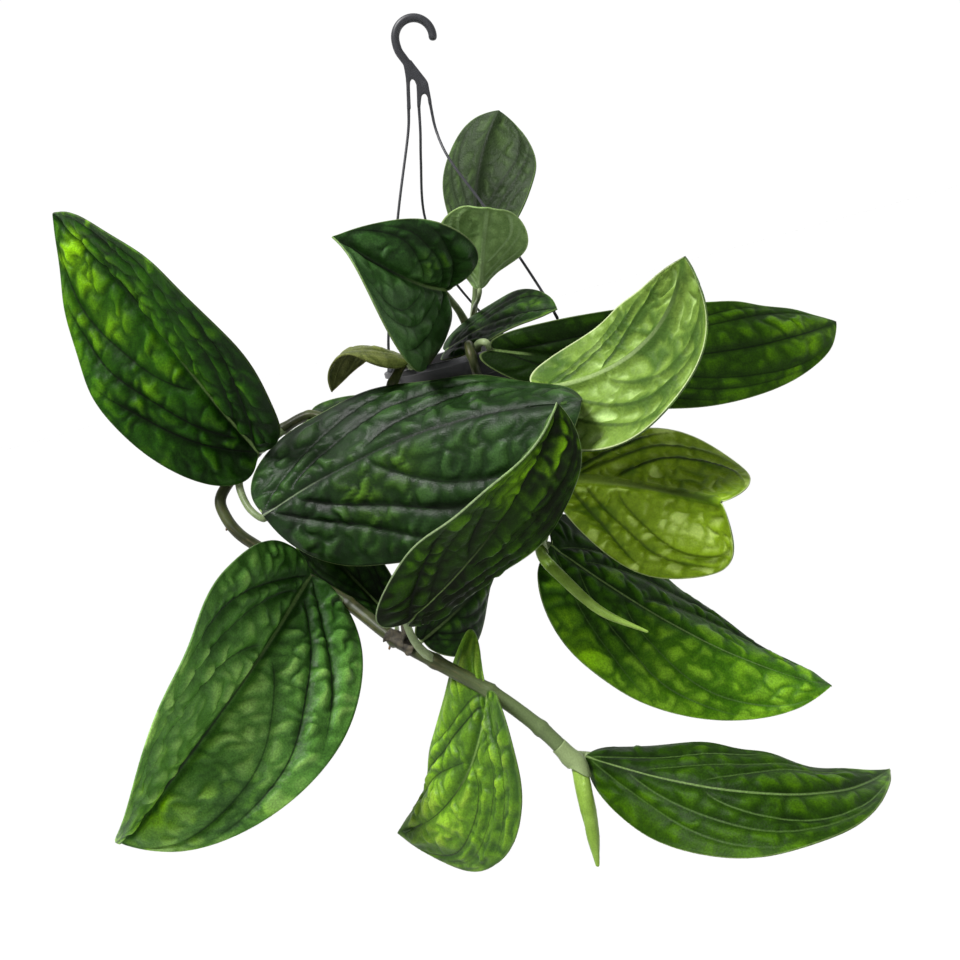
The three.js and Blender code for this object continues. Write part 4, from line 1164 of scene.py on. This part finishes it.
def make_hook():
    """Open hook of round rod that flattens towards the web."""
    arc = HOOK_INNER_RADIUS + HOOK_ROD_RADIUS
    points = [(arc * math.cos(math.radians(a)), 0,
               -HOOK_INNER_RADIUS + arc * math.sin(math.radians(a)))
              for a in range(-24, 177, 20)]

    def radius(s, length, angle):
        flat = smoothstep(length - 14, length, s)
        r = np.full_like(s, HOOK_ROD_RADIUS) * (1 - 0.3 * flat * np.sin(angle) ** 2)
        return rounded_ends(s, length, r)

    return tube("hook", [*points, *HOOK_NECK], radius, 36, 0.5)


def make_strand(name):
    """Thin strand, thicker and flatter at the web and thicker at the foot."""
    def radius(s, length, angle):
        flat = np.sin(angle) ** 2
        r = STRAND_RADIUS + 0.12 * np.exp(-s / 9) + 0.25 * np.exp(-(length - s) / 4)
        return r * (1 - 0.12 * flat) + 0.45 * np.exp(-s / 7) * flat

    points = [*STRANDS[name], slot_place(name, FOOT_TOP - 0.6)]
    return tube("strand_" + name, points, radius, 16, 1.2)


def make_foot(name):
    """Foot: cone above the flange, tongue through the slot, two splayed legs below."""
    clear_selection()
    height = (FOOT_TOP - RIM_TOP - GAP) * MM
    below, above = CONE_RADII
    bpy.ops.mesh.primitive_cone_add(vertices=40, radius1=below * MM, radius2=above * MM,
                                    depth=height, location=(0, 0, GAP * MM + height / 2))
    cone = bpy.context.active_object
    bpy.ops.object.transform_apply(location=True, rotation=False, scale=False)
    apply_modifier(cone, "BEVEL", width=0.0004, segments=3, limit_method="ANGLE")
    thickness = SLOT_WIDTH - 2 * GAP - 0.1
    tongue = flat_bar([(thickness / 2, y, z) for y, z in FOOT_OUTLINE], (-thickness, 0, 0))
    apply_modifier(tongue, "BEVEL", width=0.00025, segments=2, limit_method="ANGLE")
    foot = join([cone, tongue], "foot_" + name)
    turn = Matrix.Rotation(math.radians(SLOT_ANGLES[name]), 4, "Z")
    foot.data.transform(Matrix.Translation(Vector(slot_place(name, RIM_TOP)) * MM) @ turn)
    return foot


def make_hanger():
    """Hook, flat web with two arches and strands fused into one skin, and the feet."""
    strands = [make_strand(name) for name in SLOT_ANGLES]
    hook = make_hook()
    web = flat_bar([(x, WEB_THICKNESS / 2, z) for x, z in WEB_OUTLINE], (0, -WEB_THICKNESS, 0))
    body = join([hook, web, *strands], "hook_web_and_strands")
    apply_modifier(body, "REMESH", mode="VOXEL", voxel_size=VOXEL, use_smooth_shade=True)
    apply_modifier(body, "SMOOTH", factor=0.5, iterations=20)
    hanger = join([body, *[make_foot(name) for name in SLOT_ANGLES]], "hanger_moulding")
    shade(paint(hanger, "hanger"), 35)
    settle(hanger, "hanger")


# Pot and potting mix

def turned(name, profile, segments, steps):
    """A body of revolution from a profile of (radius, height), rounded by even resampling."""
    profile = np.asarray(profile, float)
    length = np.concatenate([[0], np.cumsum(np.linalg.norm(np.diff(profile, axis=0), axis=1))])
    places = np.unique(np.concatenate([length, np.linspace(0, length[-1], steps)]))
    radius = np.interp(places, length, profile[:, 0])
    height = np.interp(places, length, profile[:, 1])
    rows = len(places) - 1
    piece, across, share = new_grid(name, segments, rows)
    ring = np.rint(share * rows).astype(int)
    angle = math.pi * across
    put(piece, np.stack([POT_AXIS[0] + radius[ring] * np.cos(angle),
                         POT_AXIS[1] + radius[ring] * np.sin(angle),
                         RIM_TOP + height[ring]], axis=1))
    merge_doubles(piece, 0.000005)
    return piece


def cut_away(piece, place):
    """Cuts the primitive that was added last, moved to its place, out of a piece."""
    cutter = bpy.context.active_object
    cutter.data.transform(place)
    apply_modifier(piece, "BOOLEAN", operation="DIFFERENCE", object=cutter, solver="EXACT")
    bpy.data.objects.remove(cutter, do_unlink=True)


def make_pot():
    """Tapered pot with a rolled rim: the profile runs under the floor, up and back down."""
    wall = POT_WALL_TOP_RADIUS
    inside = wall - POT_WALL
    lip = RIM_RADIUS - POT_WALL
    foot = -POT_HEIGHT
    floor = foot + 1.6
    inner_base = POT_BASE_RADIUS - POT_WALL
    profile = [(0, floor), (37.6, floor), (38.5, floor - 0.3), (39.3, foot + 0.3), (40, foot),
               (43, foot), (43.9, foot + 0.35), (44.5, foot + 1.2), (45.6, foot + 10),
               (46.3, foot + 10.5), (wall - 1.2, -12.5), (wall - 0.6, -12), (wall - 0.2, -2.2),
               (wall + 0.3, -1.5), (lip - 0.4, -FLANGE_THICKNESS), (lip, -1.8),
               (lip, -LIP_DEPTH + 0.2), (lip + 0.3, -LIP_DEPTH), (RIM_RADIUS - 0.3, -LIP_DEPTH),
               (RIM_RADIUS, -LIP_DEPTH + 0.3), (RIM_RADIUS, -0.8), (RIM_RADIUS - 0.25, -0.25),
               (RIM_RADIUS - 0.8, 0), (inside + 0.8, 0), (inside + 0.2, -0.25), (inside, -0.9),
               (inner_base + 0.4, floor + 2.4), (inner_base - 0.6, floor + POT_WALL),
               (0, floor + POT_WALL)]
    pot = turned("pot_shell", profile, 128, 40)
    for angle in SLOT_ANGLES.values():
        clear_selection()
        bpy.ops.mesh.primitive_cube_add(size=1, location=(0, 0, 0))
        scale = Matrix.Diagonal((SLOT_WIDTH * MM, SLOT_LENGTH * MM, 4 * MM, 1))
        place = (Matrix.Translation(Vector((POT_AXIS[0], POT_AXIS[1], RIM_TOP)) * MM)
                 @ Matrix.Rotation(math.radians(angle), 4, "Z")
                 @ Matrix.Translation((SLOT_CIRCLE * MM, 0, 0)))
        cut_away(pot, place @ scale)
    for k in range(DRAIN_HOLES):
        angle = 2 * math.pi * k / DRAIN_HOLES
        clear_selection()
        bpy.ops.mesh.primitive_cylinder_add(vertices=28, radius=DRAIN_RADIUS * MM, depth=10 * MM)
        spot = Vector((POT_AXIS[0] + DRAIN_CIRCLE * math.cos(angle),
                       DRAIN_CIRCLE * math.sin(angle), RIM_TOP - POT_HEIGHT)) * MM
        cut_away(pot, Matrix.Translation(spot))
    shade(paint(pot, "pot"), 35)
    settle(pot, "pot")


# Crumbs on the mix: material, number, smallest and largest radius, and flatness
CRUMBS = (("bark", 60, 1.6, 3.4, 0.45), ("perlite", 34, 0.8, 1.7, 0.85),
          ("soil", 120, 0.9, 2.4, 0.8))
# In millimetres: how far from the axis they lie, the size of a crumb and of a soft mound
CRUMB_SPREAD = 52
CRUMB_SIZE = 4.2
MOUND_SIZE, MOUND_HEIGHT = 26, 1.3


def make_soil(sizes):
    """Filling of potting mix with a crumbly top, and loose crumbs on it."""
    slope = (POT_WALL_TOP_RADIUS - POT_BASE_RADIUS) / (POT_HEIGHT - 2.8)

    def inner(height):
        return POT_WALL_TOP_RADIUS - POT_WALL + slope * height - GAP

    top, floor = -SOIL_BELOW_RIM, -POT_HEIGHT + 3.1
    profile = [(0, floor), (inner(floor) - 1, floor), (inner(floor + 2), floor + 2),
               (inner(top), top), (0, top + 0.4)]
    soil = turned("potting_mix_body", profile, 150, 110)
    points = places_of(soil) / MM
    radius = np.hypot(points[:, 0] - POT_AXIS[0], points[:, 1] - POT_AXIS[1])
    upper = smoothstep(RIM_TOP + top - 1, RIM_TOP + top, points[:, 2]) * (radius < inner(top) - 0.5)
    lumps = smooth_noise(points, 4, MOUND_SIZE, 3) * MOUND_HEIGHT
    crumbs, pick = cells(points[:, 0] / CRUMB_SIZE + 40, points[:, 1] / CRUMB_SIZE + 40, 8)
    lumps += smoothstep(0, 0.5, crumbs) * (0.4 + pick) * sizes.soil_lump / MM
    points[:, 2] += upper * lumps
    put(soil, points)
    pieces = [paint(soil, "soil")]
    rng = np.random.default_rng(12)
    for kind, count, low, high, flat in CRUMBS:
        for _ in range(count):
            r = CRUMB_SPREAD * math.sqrt(rng.random())
            a = rng.uniform(0, 2 * math.pi)
            size = rng.uniform(low, high)
            pieces.append(paint(make_chunk(r, a, size, flat, rng), kind))
    whole = join(pieces, "potting_mix_fill")
    shade(whole, 50)
    settle(whole, "soil")


def make_chunk(r, a, size, flat, rng):
    """A crumb of bark, perlite or peat that lies on the mix."""
    clear_selection()
    bpy.ops.mesh.primitive_ico_sphere_add(subdivisions=2, radius=1)
    chunk = bpy.context.active_object
    points = np.array([v.co for v in chunk.data.vertices])
    jag = 1 + 0.25 * smooth_noise(points * 4, int(rng.integers(1e6)), 6, 2)
    points = points * jag[:, None] * np.array([1, rng.uniform(0.55, 1), flat])
    turn = np.array(Matrix.Rotation(rng.uniform(0, 6.28), 3, "Z")
                    @ Matrix.Rotation(rng.uniform(-0.5, 0.5), 3, "X"))
    centre = (POT_AXIS[0] + r * math.cos(a), POT_AXIS[1] + r * math.sin(a),
              RIM_TOP - SOIL_BELOW_RIM + 1.2 + 0.3 * size)
    put(chunk, points @ turn.T * size + centre)
    return chunk


# Stage: the camera stands where the photograph was taken from, rolled a little

PHOTO_SIZE = 960
FOCAL_PIXELS = 1030
SENSOR = 36
CAMERA_PLACE = (-30, -600, -150)
CAMERA_RIGHT = (0.9636, -0.0464, -0.2632)
CAMERA_UP = (0.2672, 0.1673, 0.9490)
CAMERA_FORWARD = (0.0, 0.9848, -0.1736)


def add_light(kind, name, place, direction, power):
    clear_selection()
    bpy.ops.object.light_add(type=kind, location=place)
    lamp = bpy.context.active_object
    lamp.name = name
    lamp.data.energy = power
    lamp.rotation_euler = Vector(direction).to_track_quat("-Z", "Y").to_euler()
    return lamp


def make_floor(colour):
    clear_selection()
    bpy.ops.mesh.primitive_plane_add(size=120, location=(0, 0, -1.6))
    floor = bpy.context.active_object
    floor.name = "floor"
    material, tree, shader = new_material("floor_paint")
    fill(tree, shader, {"Base Color": (*colour, 1), "Roughness": 0.9})
    floor.data.materials.append(material)


def make_studio(scene, colour):
    """Soft light all round, a little brighter behind the plant than in front of it."""
    world = bpy.data.worlds.new("studio")
    scene.world = world
    world.use_nodes = True
    scene.view_settings.view_transform = "Standard"
    tree = world.node_tree
    depth = add(tree, "SeparateXYZ", {"Vector": add(tree, "TexCoord", {}, "Generated")}, "Y")
    strength = add(tree, "MapRange", {"Value": depth, "From Min": -0.2, "From Max": 0.78,
                                      "To Min": 0.36, "To Max": 1.02}, **SMOOTH)
    fill(tree, tree.nodes["Background"], {"Color": (*colour, 1), "Strength": strength})
    sun = add_light("SUN", "soft_key", (-0.6, -0.6, 1.2), (0.45, 0.5, -1.1), 5.0)
    sun.data.angle = math.radians(18)
    place = Vector((0.5, 1.2, 0.7))
    add_light("AREA", "back", place, Vector((-0.02, -0.05, -0.22)) - place, 3).data.size = 1.0


def make_camera(scene):
    bpy.ops.object.camera_add()
    camera = bpy.context.active_object
    backward = -Vector(CAMERA_FORWARD)
    turn = Matrix((Vector(CAMERA_RIGHT), Vector(CAMERA_UP), backward)).transposed().to_4x4()
    camera.matrix_world = Matrix.Translation(Vector(CAMERA_PLACE) * MM) @ turn
    camera.data.lens = SENSOR * FOCAL_PIXELS / PHOTO_SIZE
    camera.data.sensor_width = SENSOR
    camera.data.clip_start = 0.01
    scene.camera = camera


# Settings that a user would change, and an operator for each group of pieces

class PlantSizes(bpy.types.PropertyGroup):
    blade_thickness: bpy.props.FloatProperty(
        name="Blade thickness", description="Thickness of a leaf blade",
        default=0.0009, unit="LENGTH")
    vein_depth: bpy.props.FloatProperty(
        name="Vein depth", description="Depth of the sunken veins",
        default=0.0022, unit="LENGTH")
    pillow_height: bpy.props.FloatProperty(
        name="Pillow height", description="Height of the quilted pillows between the veins",
        default=0.0027, unit="LENGTH")
    pillow_length: bpy.props.FloatProperty(
        name="Pillow length", description="Length of one pillow along the leaf",
        default=0.0095, unit="LENGTH")
    soil_lump: bpy.props.FloatProperty(
        name="Soil lumps", description="Height of the crumbs in the potting mix",
        default=0.0011, unit="LENGTH")


class PlantColours(bpy.types.PropertyGroup):
    floor: bpy.props.FloatVectorProperty(
        name="Floor", description="Colour of the studio floor", size=3, subtype="COLOR",
        default=(0.52, 0.52, 0.52))
    backdrop: bpy.props.FloatVectorProperty(
        name="Backdrop", description="Colour of the studio light all round", size=3,
        subtype="COLOR", default=(1.0, 1.0, 1.0))


class PLANT_OT_materials(bpy.types.Operator):
    """Make every material of the plant, the pot and the hanger"""
    bl_idname = "plant.materials"
    bl_label = "Materials"

    def execute(self, context):
        make_materials()
        return {"FINISHED"}


class PLANT_OT_leaves(bpy.types.Operator):
    """Build the quilted leaf blades"""
    bl_idname = "plant.leaves"
    bl_label = "Leaves"

    def execute(self, context):
        for name, leaf in LEAVES.items():
            make_leaf(name, leaf, context.scene.plant_sizes)
        return {"FINISHED"}


class PLANT_OT_vines(bpy.types.Operator):
    """Build the stems with their leaf stalks, roots and dry sheaths"""
    bl_idname = "plant.vines"
    bl_label = "Vines"

    def execute(self, context):
        for name, vine in VINES.items():
            make_vine(name, vine)
        return {"FINISHED"}


class PLANT_OT_spears(bpy.types.Operator):
    """Build the two rolled new leaves"""
    bl_idname = "plant.spears"
    bl_label = "Rolled leaves"

    def execute(self, context):
        for name, spear in SPEARS.items():
            make_spear(name, spear)
        return {"FINISHED"}


class PLANT_OT_hanger(bpy.types.Operator):
    """Build the hook, its web, the strands and their feet"""
    bl_idname = "plant.hanger"
    bl_label = "Hanger"

    def execute(self, context):
        make_hanger()
        return {"FINISHED"}


class PLANT_OT_pot(bpy.types.Operator):
    """Build the nursery pot"""
    bl_idname = "plant.pot"
    bl_label = "Pot"

    def execute(self, context):
        make_pot()
        return {"FINISHED"}


class PLANT_OT_soil(bpy.types.Operator):
    """Build the potting mix with bark and perlite on top"""
    bl_idname = "plant.soil"
    bl_label = "Potting mix"

    def execute(self, context):
        make_soil(context.scene.plant_sizes)
        return {"FINISHED"}


class PLANT_OT_stage(bpy.types.Operator):
    """Set up floor, soft light and camera"""
    bl_idname = "plant.stage"
    bl_label = "Stage"

    def execute(self, context):
        colours = context.scene.plant_colours
        make_floor(colours.floor)
        make_studio(context.scene, colours.backdrop)
        make_camera(context.scene)
        return {"FINISHED"}


OPERATORS = (PLANT_OT_materials, PLANT_OT_leaves, PLANT_OT_vines, PLANT_OT_spears,
             PLANT_OT_hanger, PLANT_OT_pot, PLANT_OT_soil, PLANT_OT_stage)


class PLANT_PT_panel(bpy.types.Panel):
    bl_label = "Potted monstera"
    bl_idname = "PLANT_PT_panel"
    bl_space_type = "VIEW_3D"
    bl_region_type = "UI"
    bl_category = "Plant"

    def draw(self, context):
        for name in PlantSizes.__annotations__:
            self.layout.prop(context.scene.plant_sizes, name)
        for name in PlantColours.__annotations__:
            self.layout.prop(context.scene.plant_colours, name)
        for operator in OPERATORS:
            self.layout.operator(operator.bl_idname)


CLASSES = (PlantSizes, PlantColours, *OPERATORS, PLANT_PT_panel)


def register():
    for item in CLASSES:
        bpy.utils.register_class(item)
    bpy.types.Scene.plant_sizes = bpy.props.PointerProperty(type=PlantSizes)
    bpy.types.Scene.plant_colours = bpy.props.PointerProperty(type=PlantColours)


def unregister():
    del bpy.types.Scene.plant_sizes
    del bpy.types.Scene.plant_colours
    for item in reversed(CLASSES):
        bpy.utils.unregister_class(item)


def main():
    register()
    for operator in OPERATORS:
        group, name = operator.bl_idname.split(".")
        getattr(getattr(bpy.ops, group), name)()


if __name__ == "__main__":
    main()
